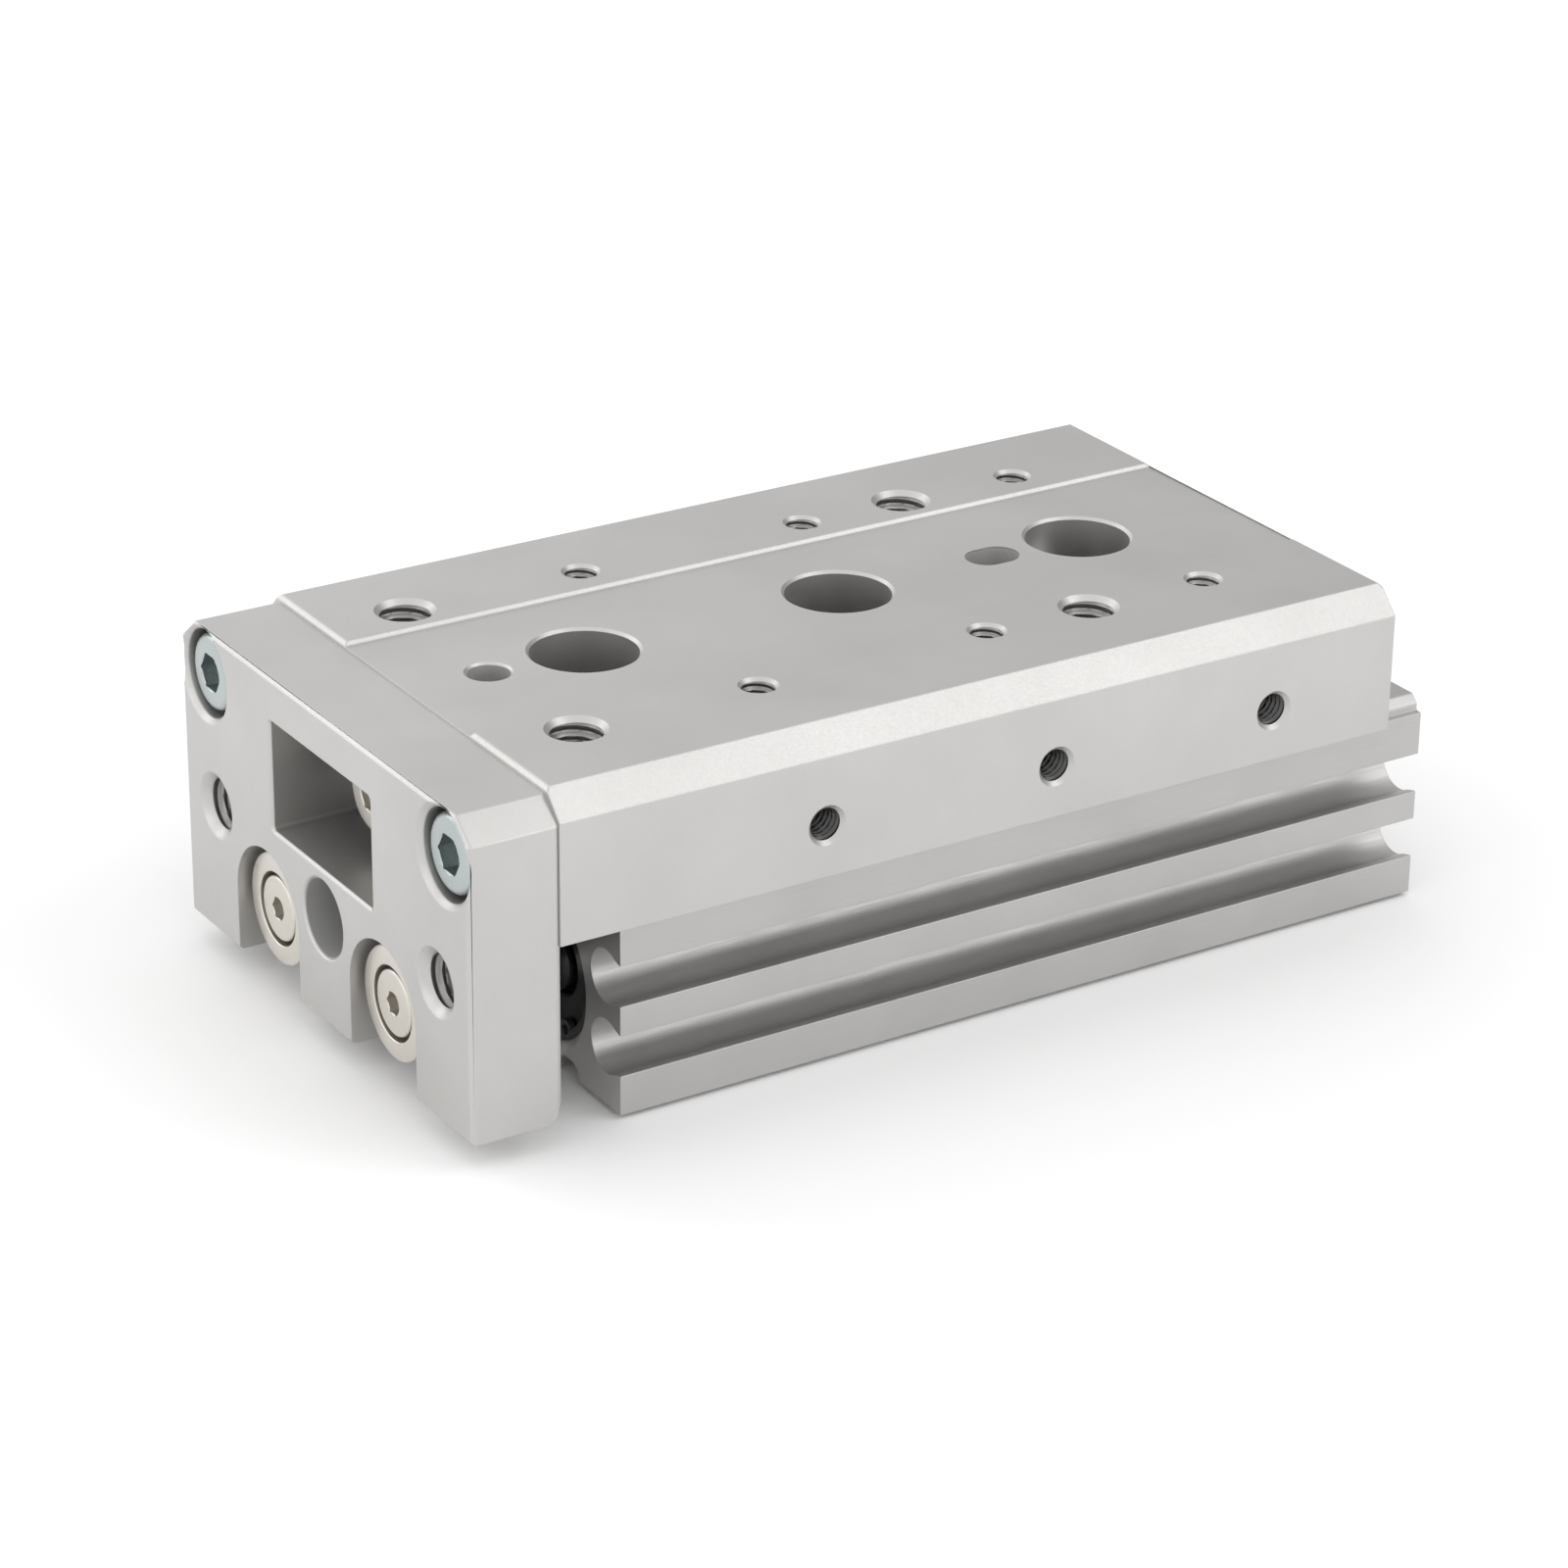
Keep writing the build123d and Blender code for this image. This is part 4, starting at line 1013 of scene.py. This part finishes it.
@dataclass(frozen=True)
class EndPlate:
    """The plate on the front of the table, with its screws."""

    layout: Layout
    top: float = 24.0
    bottom: float = 1.7
    chamfer: Flat = (1.9, 1.55)
    chamfer_shift: Flat = (0.356, 0.475)
    window: Flat = (14.1, 7.9)
    window_middle: float = 16.9
    window_corner: float = 0.3
    window_bevel: float = 0.2
    notch: float = 4.5
    web: float = 2.4
    slot_half: float = 2.6
    thread_y: float = 15.5
    thread_z: float = 11.4
    thread_mouth: float = 2.4
    centre_z: float = 9.4
    centre_radius: float = 2.75
    counterbore: float = 3.1
    screw_hole: float = 1.55
    screw_recess: float = 0.5
    heel: float = 1.2
    rim: float = 0.28
    seam: Flat = (0.35, 0.2)
    buried: float = 0.09
    under_head: float = 3.0
    softness: float = 0.08
    screw: SocketScrew = SocketScrew(M3, 2.72, 2.9, 2.45, 1.5, 10.0, crown=0.55)

    def _section(self, sides: float, ends: float) -> list[Flat]:
        """Draws the plate's outline.

        Args:
            sides: How far its sides are drawn in.
            ends: How far its top and bottom are drawn in.

        Returns:
            Points in Y and Z.
        """
        side, top = self.layout.half_table, self.top
        across, down = self.chamfer_shift
        half = [
            (side - self.chamfer[0] - across * sides, top - ends),
            (side - sides, top - self.chamfer[1] - down * ends),
            (side - sides, self.bottom + ends),
        ]
        return both_halves(half)

    def _notch(self, hand: int, half: float, start: float) -> Stock:
        """Makes the tool for a notch that is open at the bottom.

        Args:
            hand: 1 for the +Y side, -1 for the other.
            half: Half its width.
            start: The station where it begins.

        Returns:
            The tool.
        """
        place = self.layout
        outline = arc((hand * place.rod_y, place.rod_z), half, 0.0, 180.0, 48)
        outline += [(hand * place.rod_y - half, -1.0), (hand * place.rod_y + half, -1.0)]
        return Stock().drawn(outline, (start, 0.0, 0.0), AHEAD, place.front + 1.0 - start)

    def _window(self) -> Stock:
        """Makes the tool for the window with its bevelled mouth.

        Returns:
            The tool.
        """
        wide, high, r = self.window[0] / 2.0, self.window[1] / 2.0, self.window_corner
        front, bevel = self.layout.front, self.window_bevel
        sections = []
        steps = ((self.layout.joint - 1.0, 0.0), (front - bevel, 0.0), (front + 0.5, bevel + 0.5))
        for x, grow in steps:
            outline = []
            for y, z, turn in ((1, 1, 0), (-1, 1, 90), (-1, -1, 180), (1, -1, 270)):
                middle = (y * (wide - r), self.window_middle + z * (high - r))
                outline += arc(middle, r + grow, turn, turn + 90, 5)
            sections.append((x, outline))
        return Stock().stacked(sections)

    def build(self) -> None:
        """Builds the plate, its threads and its two screws."""
        place = self.layout
        side = place.half_table
        thick = place.front - place.joint
        rim, seam = self.rim, self.seam
        plate = Stock().stacked(
            [
                (place.joint - self.buried, self._section(seam[1], 0.0)),
                (place.joint, self._section(seam[1], 0.0)),
                (place.joint + seam[0], self._section(0.0, 0.0)),
                (place.front - rim, self._section(0.0, 0.0)),
                (place.front, self._section(rim, rim)),
            ]
        )
        behind, below, round_off = -place.joint, self.bottom, self.heel
        heel = [(behind + 0.5, below - 0.5), (behind + 0.5, below + round_off)]
        heel += arc((behind - round_off, below + round_off), round_off, 0.0, -90.0, 12)
        heel += [(behind - round_off, below - 0.5)]
        outside = (0.0, -side - 1.0, 0.0)
        plate.cut(Stock().drawn(heel, outside, (0.0, 1.0, 0.0), 2.0 * side + 2.0))
        for _, hand in SIDES:
            plate.cut(self._notch(hand, self.notch, place.joint + self.web))
            plate.cut(self._notch(hand, self.slot_half, place.joint - 1.0))
        plate.cut(self._window())
        sink = thick - self.under_head
        wide, thin = self.counterbore, self.screw_hole
        sunk = [(0.5, 0.0), (0.5, wide + 0.9), (-0.4, wide), (-sink, wide), (-sink, thin)]
        sunk += [(-thick - 0.5, thin), (-thick - 0.5, 0.0)]
        mouth = self.thread_mouth
        start = start_of(M4, mouth)
        bevelled = [(0.5, 0.0), (0.5, mouth + 0.5), (-start, mouth - start), (-start, M4.major)]
        bevelled += [(-thick - 0.5, M4.major), (-thick - 0.5, 0.0)]
        wall, middle = self.centre_radius, (place.front, 0.0, self.centre_z)
        plain = [(0.5, 0.0), (0.5, wall + 0.65), (-0.15, wall)]
        plain += [(-thick - 0.5, wall), (-thick - 0.5, 0.0)]
        plate.cut(Stock().turned(plain, middle, AHEAD, 96))
        lined = wall - 0.05
        sleeve = [(-0.2, wall), (-0.2, lined), (0.1 - thick, lined), (0.1 - thick, wall)]
        bore = Stock().turned(sleeve, middle, AHEAD, 96, ring=True)
        threads = Stock()
        screws = Stock()
        for _, hand in SIDES:
            across, height = hand * place.plate_screw[0], place.plate_screw[1]
            plate.cut(Stock().turned(sunk, (place.front, across, height), AHEAD, 96))
            at = (place.front, hand * self.thread_y, self.thread_z)
            plate.cut(Stock().turned(bevelled, at, AHEAD))
            threads.thread(M4, at, AHEAD, start, thick - 0.02, True)
            rest = place.front - self.screw_recess - self.screw.height
            self.screw.into(screws, (rest, across, height), AHEAD)
        plate.eased(self.softness)
        finish, carrier, slot = MILLED_ALUMINIUM, Carrier.SLIDE, "plate_aluminium"
        plate.piece("front_plate", finish, carrier, slot, ["end_plate"])
        bore.piece("front_plate_bore", REAMED_BORE, carrier, slot)
        # The plate's thread lining carries painted shade for the inside of its tapped holes.
        threads.piece("front_plate_threads", THREAD_PAINTED_SHADE, carrier, slot)
        slot = "zinc_steel"
        screws.piece("front_plate_screws", ZINC_PLATE, carrier, slot, ["end_plate_screws"])


@dataclass(frozen=True)
class RodJoint:
    """One piston rod and the floating joint that ties it to the end plate."""

    layout: Layout
    name: str
    hand: int
    rod_radius: float = 2.0
    rod_rear: float = -29.95
    shoulder: float = -17.05
    spigot: float = 1.2
    rod_front: float = 30.8
    rod_hole: Flat = (1.28, 5.4)
    bush_rear: float = 31.8
    bush_shoulder: float = 34.3
    bush_front: float = 37.6
    bush_radius: float = 3.97
    sleeve: float = 2.4
    sink_radius: float = 2.6
    sink_depth: float = 2.05
    washer_radius: float = 3.7
    bore: float = 1.3
    screw: SocketScrew = SocketScrew(M25, 2.3, 2.0, 1.5, 1.1, 10.0, False, 0.2)

    def build(self) -> None:
        """Builds the rod, the washer, the bush and the screw."""
        place = self.layout
        axis = (0.0, self.hand * place.rod_y, place.rod_z)
        carrier, steel = Carrier.SLIDE, "nickel_steel"
        bore, (drill, deep) = self.bore, self.rod_hole
        rod = Stock().turned(
            [
                (self.rod_rear, 0.0),
                (self.rod_rear, self.spigot - 0.15),
                (self.rod_rear + 0.15, self.spigot),
                (self.shoulder, self.spigot),
                (self.shoulder, self.rod_radius),
                (self.rod_front - 0.3, self.rod_radius),
                (self.rod_front, self.rod_radius - 0.3),
                (self.rod_front, drill),
                (self.rod_front - deep, drill),
                (self.rod_front - deep - 0.7, 0.0),
            ],
            axis,
        )
        node = f"piston_rod_{self.name}"
        rod.piece(f"rod_{self.name}", CHROMED_ROD, carrier, "rod_chrome", [node])
        washer = Stock().turned(
            [
                (self.rod_front, bore),
                (self.rod_front, self.washer_radius - 0.12),
                (self.rod_front + 0.12, self.washer_radius),
                (self.bush_rear - 0.12, self.washer_radius),
                (self.bush_rear, self.washer_radius - 0.12),
                (self.bush_rear, bore),
            ],
            axis,
            ring=True,
        )
        node = f"float_washer_{self.name}"
        washer.piece(f"washer_{self.name}", NICKEL_PLATE, carrier, steel, [node])
        floor = self.bush_front - self.sink_depth
        bush = Stock().turned(
            [
                (self.bush_rear, bore),
                (self.bush_rear, self.sleeve - 0.1),
                (self.bush_rear + 0.1, self.sleeve),
                (self.bush_shoulder, self.sleeve),
                (self.bush_shoulder, self.bush_radius - 0.12),
                (self.bush_shoulder + 0.12, self.bush_radius),
                (self.bush_front - 0.25, self.bush_radius),
                (self.bush_front - 0.07, self.bush_radius - 0.07),
                (self.bush_front, self.bush_radius - 0.25),
                (self.bush_front, self.sink_radius + 0.05),
                (self.bush_front - 0.05, self.sink_radius),
                (floor, self.sink_radius),
                (floor, bore),
            ],
            axis,
            AHEAD,
            96,
            ring=True,
        )
        node = f"floating_bush_{self.name}"
        bush.piece(f"bush_{self.name}", NICKEL_PLATE, carrier, steel, [node])
        screw = self.screw.into(Stock(), (floor, axis[1], axis[2]), AHEAD)
        node = f"rod_end_screw_{self.name}"
        screw.piece(f"bush_screw_{self.name}", NICKEL_PLATE, carrier, steel, [node])


@dataclass(frozen=True)
class CylinderEnds:
    """The black rod cover, the rear cap and the two retaining rings of one bore.

    Each ring is given by its rear station, its front station and its outside radius.
    """

    layout: Layout
    name: str
    hand: int
    cover: Flat = (15.25, 25.25)
    cover_radius: float = 5.2
    cap: Flat = (-36.95, -31.35)
    cap_radius: float = 4.45
    front_ring: Point = (25.25, 25.85, 5.55)
    rear_ring: Point = (-37.55, -36.95, 4.8)
    ring_width: float = 0.95
    ring_gap: float = 1.1
    ear: Flat = (1.75, 0.75)
    ear_hole: float = 0.35
    bearing: float = 2.03
    seal_radius: float = 3.1
    groove_half: float = 0.65
    groove_depth: float = 1.05

    def _ring(self, start: float, end: float, outer: float) -> Stock:
        """Builds a retaining ring with two drilled ears.

        Args:
            start: The station of its rear face.
            end: The station of its front face.
            outer: Its outside radius.

        Returns:
            The ring.
        """
        middle = (self.hand * self.layout.rod_y, self.layout.rod_z)
        inner = outer - self.ring_width
        gap = math.degrees(math.asin(self.ring_gap / outer))
        ends = (-90.0 + gap, 270.0 - gap, 72)
        bounds = zip(arc(middle, inner, *ends), arc(middle, outer, *ends))
        ring = Stock().lofted(
            [[(start, *near), (start, *far), (end, *far), (end, *near)] for near, far in bounds]
        )
        for hand in (1, -1):
            spot = (end - 0.04, middle[0] + hand * self.ear[0], middle[1] - inner + 0.35)
            ring.joined(hole(spot, AHEAD, self.ear[1], end - start - 0.08, rise=0.0))
            ring.cut(hole((end + 0.1, *spot[1:]), AHEAD, self.ear_hole, end - start + 0.5))
        return ring.eased(0.06)

    def build(self) -> None:
        """Builds the cover, the cap and both rings."""
        place = self.layout
        axis = (0.0, self.hand * place.rod_y, place.rod_z)
        rear, front = self.cover
        radius, middle = self.cover_radius, (rear + front) / 2.0
        wide, deep, seal = self.groove_half, self.groove_depth, self.seal_radius
        cover = Stock().turned(
            [
                (rear, self.bearing),
                (rear, radius - 0.3),
                (rear + 0.3, radius),
                (middle - wide, radius),
                (middle - wide, radius - deep),
                (middle + wide, radius - deep),
                (middle + wide, radius),
                (front - 0.15, radius),
                (front, radius - 0.15),
                (front, 2.55),
                (front - 0.15, 2.4),
                (front - 0.8, 2.4),
                (front - 0.8, seal),
                (front - 3.0, seal),
                (front - 3.0, self.bearing),
            ],
            axis,
            AHEAD,
            96,
            ring=True,
        )
        base, node = Carrier.BASE, f"rod_cover_{self.name}"
        cover.piece(f"rod_bearing_{self.name}", BLACK_ANODISED, base, "black_bush", [node])
        rear, front = self.cap
        radius = self.cap_radius
        groove = front - 2.2
        cap = Stock().turned(
            [
                (rear, 0.0),
                (rear, radius - 0.15),
                (rear + 0.15, radius),
                (groove - wide, radius),
                (groove - wide, radius - deep),
                (groove + wide, radius - deep),
                (groove + wide, radius),
                (front - 0.3, radius),
                (front, radius - 0.3),
                (front, 3.05),
                (front - 0.4, 3.05),
                (front - 0.4, 0.0),
            ],
            axis,
            AHEAD,
            96,
        )
        node = f"head_cap_{self.name}"
        cap.piece(f"rear_cap_{self.name}", CUT_ALUMINIUM, base, "plate_aluminium", [node])
        rings = (("front", "rod_cover", self.front_ring), ("rear", "head_cap", self.rear_ring))
        for end, stem, sizes in rings:
            node = f"{stem}_ring_{self.name}"
            ring = self._ring(*sizes)
            ring.piece(f"{end}_circlip_{self.name}", SPRING_STEEL, base, "spring_steel", [node])


@dataclass(frozen=True)
class BallGuide:
    """The guide block on the deck with its covers, wipers, balls and screws."""

    layout: Layout
    block: Flat = (6.45, 26.35)
    half: float = 8.9
    cover_half: float = 9.4
    cover_bottom: float = 15.2
    front_cover: float = 30.95
    rear_cover: float = 3.25
    front: float = 31.55
    rear: float = 2.65
    tunnel: float = 1.06
    return_y: float = 6.1
    balls: int = 23
    ball_radius: float = 1.0
    nib: float = 0.95
    access: Flat = (3.75, 6.0)
    screw_seat: float = 18.9
    screw_sink: float = 1.9
    screw_way: float = 1.05
    cover_screw_z: float = 17.5
    rear_screw_y: float = 3.2
    block_screw: SocketScrew = SocketScrew(M2, 1.75, 1.3, 1.3, 0.7, 7.5, False, 0.16)
    cover_screw: SocketScrew = SocketScrew(M3, 2.8, 3.1, 2.5, 1.5, 8.5, crown=0.45)
    rear_screw: SocketScrew = SocketScrew(M16, 1.5, 0.9, 0.9, 0.5, 6.5, False, 0.12)

    def build(self) -> None:
        """Builds the whole guide."""
        self._block()
        self._ends()
        self._balls()
        place, base = self.layout, Carrier.BASE
        screws = Stock()
        for x, y in place.block_screws:
            self.block_screw.into(screws, (x, y, self.screw_seat), UP)
        screws.piece("block_screws", ZINC_PLATE, base, "zinc_steel", ["guide_block_screws"])
        screw = self.cover_screw.into(Stock(), (self.front, 0.0, self.cover_screw_z), AHEAD)
        screw.piece("cover_screw", NICKEL_PLATE, base, "nickel_steel", ["guide_cover_screw"])
        screws = Stock()
        for y in (self.rear_screw_y, -self.rear_screw_y):
            self.rear_screw.into(screws, (self.rear, y, place.track_z), BACK)
        screws.piece("rear_screws", ZINC_PLATE, base, "zinc_steel", ["guide_rear_screws"])

    def _bend(self) -> Flat:
        """Gives the distance from the middle plane and the radius of the turns of the balls."""
        inner, outer = self.return_y, self.layout.track_y
        return (outer + inner) / 2.0, (outer - inner) / 2.0

    def _track(self, x: Flat, y: float) -> Stock:
        """Makes the tool for a straight ball way."""
        return Stock().turned(plug(x, self.tunnel), (0.0, y, self.layout.track_z), AHEAD, 40)

    def _block(self) -> None:
        """Builds the hardened block."""
        place, base = self.layout, Carrier.BASE
        rear, front = self.block
        top, deck = place.block_top, place.deck
        outline = both_halves([(self.half - 0.5, top), (self.half, top - 0.5), (self.half, deck)])
        block = Stock().drawn(outline, (rear, 0.0, 0.0), AHEAD, front - rear)
        way = (rear - 0.5, front + 0.5)
        for _, hand in SIDES:
            for y in (place.track_y, self.return_y):
                block.cut(self._track(way, hand * y))
        mouth = (place.mount_x[0], 0.0, top)
        block.cut(hole(mouth, UP, *self.access, self.access[0] + 0.2))
        sink, deep = self.screw_seat - top, deck - top - 0.5
        wide, thin = self.screw_sink, self.screw_way
        profile = [(0.5, 0.0), (0.5, wide), (sink, wide), (sink, thin), (deep, thin), (deep, 0.0)]
        for x, y in place.block_screws:
            block.cut(Stock().turned(profile, (x, y, top), UP, 48))
        block.cut(hole((front, 0.0, self.cover_screw_z), AHEAD, 1.53, 3.9))
        for y in (self.rear_screw_y, -self.rear_screw_y):
            block.cut(hole((rear, y, place.track_z), BACK, 0.83, 2.9))
        block.eased(0.1)
        block.piece("ball_block", GROUND_STEEL, base, "hardened_steel", ["guide_block"])

    def _end_shape(self, start: float, end: float) -> Stock:
        """Builds the blank shared by the covers and the wipers.

        Args:
            start: The station of its rear face.
            end: The station of its front face.

        Returns:
            The blank.
        """
        top, half = self.layout.block_top, self.cover_half
        outline = both_halves([(half - 0.8, top), (half, top - 0.8), (half, self.cover_bottom)])
        return Stock().drawn(outline, (start, 0.0, 0.0), AHEAD, end - start)

    def _ends(self) -> None:
        """Builds both end covers and both wipers."""
        place, base = self.layout, Carrier.BASE
        rear, front = self.block
        middle, turn = self._bend()
        front_hole = [((0.0, self.cover_screw_z), 1.55)]
        rear_holes = [((y, place.track_z), 0.85) for y in (self.rear_screw_y, -self.rear_screw_y)]
        ends = (
            ("front", front, self.front_cover, front, front_hole),
            ("rear", self.rear_cover, rear, rear, rear_holes),
        )
        for name, start, end, station, holes in ends:
            cover = self._end_shape(start, end)
            for _, hand in SIDES:
                bend = arc((0.0, turn), self.tunnel, 0.0, 360.0, 24)[:-1]
                at = (station, hand * middle, place.track_z)
                cover.cut(Stock().turned(bend, at, UP, 48, ring=True))
            for spot, radius in holes:
                cover.cut(hole((end, *spot), AHEAD, radius, end - start + 0.5))
            cover.eased(0.12)
            node = f"guide_cover_{name}"
            cover.piece(f"return_cover_{name}", BLACK_POLYMER, base, "guide_plastic", [node])
        ends = (
            ("front", self.front_cover, self.front, front_hole),
            ("rear", self.rear, self.rear_cover, rear_holes),
        )
        for name, start, end, holes in ends:
            wiper = self._end_shape(start, end)
            for _, hand in SIDES:
                nib = plug((start, end), self.nib)
                at = (0.0, hand * place.track_y, place.track_z)
                wiper.joined(Stock().turned(nib, at, AHEAD, 40))
            for spot, radius in holes:
                wiper.cut(hole((end, *spot), AHEAD, radius, end - start + 0.5))
            wiper.eased(0.05)
            wiper.piece(f"wiper_{name}", NITRILE, base, "seal_rubber", [f"scraper_{name}"])

    def _balls(self) -> None:
        """Builds both rows of balls, spread evenly along their closed ways."""
        place = self.layout
        rear, front = self.block
        straight = front - rear
        middle, turn = self._bend()
        bend = math.pi * turn
        for name, hand in SIDES:
            row = Stock()
            for i in range(self.balls):
                way = i * 2.0 * (straight + bend) / self.balls
                if way < straight:
                    x, y = rear + way, place.track_y
                elif way < straight + bend:
                    angle = (way - straight) / turn
                    x, y = front + turn * math.sin(angle), middle + turn * math.cos(angle)
                elif way < 2.0 * straight + bend:
                    x, y = front - (way - straight - bend), self.return_y
                else:
                    angle = (way - 2.0 * straight - bend) / turn
                    x, y = rear - turn * math.sin(angle), middle - turn * math.cos(angle)
                row.ball((x, hand * y, place.track_z), self.ball_radius)
            node = f"balls_{name}"
            row.piece(f"ball_row_{name}", POLISHED_STEEL, Carrier.BASE, "ball_steel", [node])


@dataclass(frozen=True)
class InnerPieces:
    """The sealed pieces that keep their shape from the frame and only need a finish."""

    finishes: tuple[tuple[str, Finish], ...] = (
        ("ball_retainer", GROUND_STEEL),
        ("rod_cover_seal", NITRILE),
        ("rod_seal", NITRILE),
        ("head_cap_seal", NITRILE),
        ("head_bumper", URETHANE),
        ("rod_bumper", URETHANE),
        ("piston_seal", NITRILE),
        ("piston_magnet", MAGNET_BODY),
        ("piston", CUT_ALUMINIUM),
    )

    def dress(self, nodes: dict[str, bpy.types.Object]) -> None:
        """Gives each of these nodes its finish.

        Args:
            nodes: The frame's nodes by name.
        """
        for stem, finish in self.finishes:
            for name, _ in SIDES:
                slots = nodes[f"{stem}_{name}"].data.materials
                slots.clear()
                slots.append(finish.material())
                LOG.info("%s_%s: %s", stem, name, finish.name)


@dataclass(frozen=True)
class Card:
    """A square soft light that faces the object, in metres and watts."""

    name: str
    at: Point
    size: float
    power: float
    aim: Point = (0.0, 0.0, 0.01)

    def hang(self) -> None:
        """Adds the light to the scene."""
        data = bpy.data.lights.new(self.name, "AREA")
        data.shape = "SQUARE"
        data.size = self.size
        data.energy = self.power
        lamp = bpy.data.objects.new(self.name, data)
        lamp.location = self.at
        towards = Vector(self.aim) - Vector(self.at)
        lamp.rotation_euler = towards.to_track_quat("-Z", "Y").to_euler()
        bpy.context.scene.collection.objects.link(lamp)


@dataclass(frozen=True)
class Studio:
    """The pale floor, the soft lights and the camera. Lengths are in metres."""

    camera_at: Point = (0.1664856, 0.2564529, 0.1492334)
    right: Point = (-0.84538322, 0.5340411, 0.01127769)
    down: Point = (0.21256772, 0.3557123, -0.91010091)
    lens: float = 111.345
    sky: float = 1.11
    dim_corner: Point = (-0.953, -0.286, 0.1)
    dim_share: float = 0.283
    floor_reach: float = 6.0
    floor_level: float = -0.0003
    cards: tuple[Card, ...] = (
        Card("high_card", (-0.6, 0.5, 0.75), 0.6, 1.3),
        Card("back_card", (0.5, -0.85, 0.5), 0.5, 0.9),
        Card("right_card", (-0.5, 0.95, 0.2), 0.7, 1.1),
        Card("left_card", (0.9, -0.1, 0.45), 0.7, 0.85),
    )

    def build(self) -> None:
        """Sets up the whole studio."""
        self._floor()
        self._lights()
        self._camera()

    def _floor(self) -> None:
        """Lays a plain pale floor."""
        data = bpy.data.meshes.new("studio_floor")
        reach, level = self.floor_reach, self.floor_level
        corners = [(-reach, -reach), (reach, -reach), (reach, reach), (-reach, reach)]
        data.from_pydata([(x, y, level) for x, y in corners], [], [(0, 1, 2, 3)])
        floor = bpy.data.objects.new("studio_floor", data)
        bpy.context.scene.collection.objects.link(floor)
        material = bpy.data.materials.new("pale_floor")
        material.use_nodes = True
        shader = material.node_tree.nodes["Principled BSDF"]
        shader.inputs["Base Color"].default_value = (0.95, 0.95, 0.95, 1.0)
        shader.inputs["Roughness"].default_value = 0.9
        shader.inputs["Specular IOR Level"].default_value = 0.1
        data.materials.append(material)

    def _lights(self) -> None:
        """Hangs the soft lights and sets the sky."""
        for card in self.cards:
            card.hang()
        bpy.context.scene.world = self._sky()
        bpy.context.scene.view_settings.view_transform = "Standard"

    def _sky(self) -> bpy.types.World:
        """Makes a sky that falls off towards one dim corner of the studio.

        Returns:
            The world.
        """
        world = bpy.data.worlds.new("studio")
        world.use_nodes = True
        nodes, links = world.node_tree.nodes, world.node_tree.links
        sky = nodes["Background"]
        sky.inputs["Color"].default_value = (1.0, 1.0, 1.0, 1.0)
        place = nodes.new("ShaderNodeTexCoord")
        towards = nodes.new("ShaderNodeVectorMath")
        towards.operation = "DOT_PRODUCT"
        towards.inputs[1].default_value = self.dim_corner
        links.new(place.outputs["Generated"], towards.inputs[0])
        fall = nodes.new("ShaderNodeMapRange")
        fall.interpolation_type = "SMOOTHSTEP"
        fall.inputs["From Min"].default_value = 0.5
        fall.inputs["From Max"].default_value = 1.0
        fall.inputs["To Min"].default_value = self.sky
        fall.inputs["To Max"].default_value = self.sky * self.dim_share
        links.new(towards.outputs["Value"], fall.inputs["Value"])
        links.new(fall.outputs["Result"], sky.inputs["Strength"])
        return world

    def _camera(self) -> None:
        """Stands the camera where the photograph was taken."""
        data = bpy.data.cameras.new("camera")
        data.sensor_width = 36.0
        data.lens = self.lens
        data.clip_start = 0.01
        camera = bpy.data.objects.new("camera", data)
        right, down = Vector(self.right), Vector(self.down)
        back = right.cross(-down)
        turn = Matrix((right, -down, back)).transposed().to_4x4()
        camera.matrix_world = Matrix.Translation(self.camera_at) @ turn
        bpy.context.scene.collection.objects.link(camera)
        bpy.context.scene.camera = camera


def main() -> None:
    """Builds every sub-assembly in order."""
    logging.basicConfig(level=logging.INFO, format="%(name)s: %(message)s")
    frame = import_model()
    layout = Layout()
    SlideBody(layout).build()
    SlideTable(layout).build()
    EndPlate(layout).build()
    BallGuide(layout).build()
    for name, hand in SIDES:
        RodJoint(layout, name, hand).build()
        CylinderEnds(layout, name, hand).build()
    InnerPieces().dress(frame["nodes"])
    Studio().build()


if __name__ == "__main__":
    main()
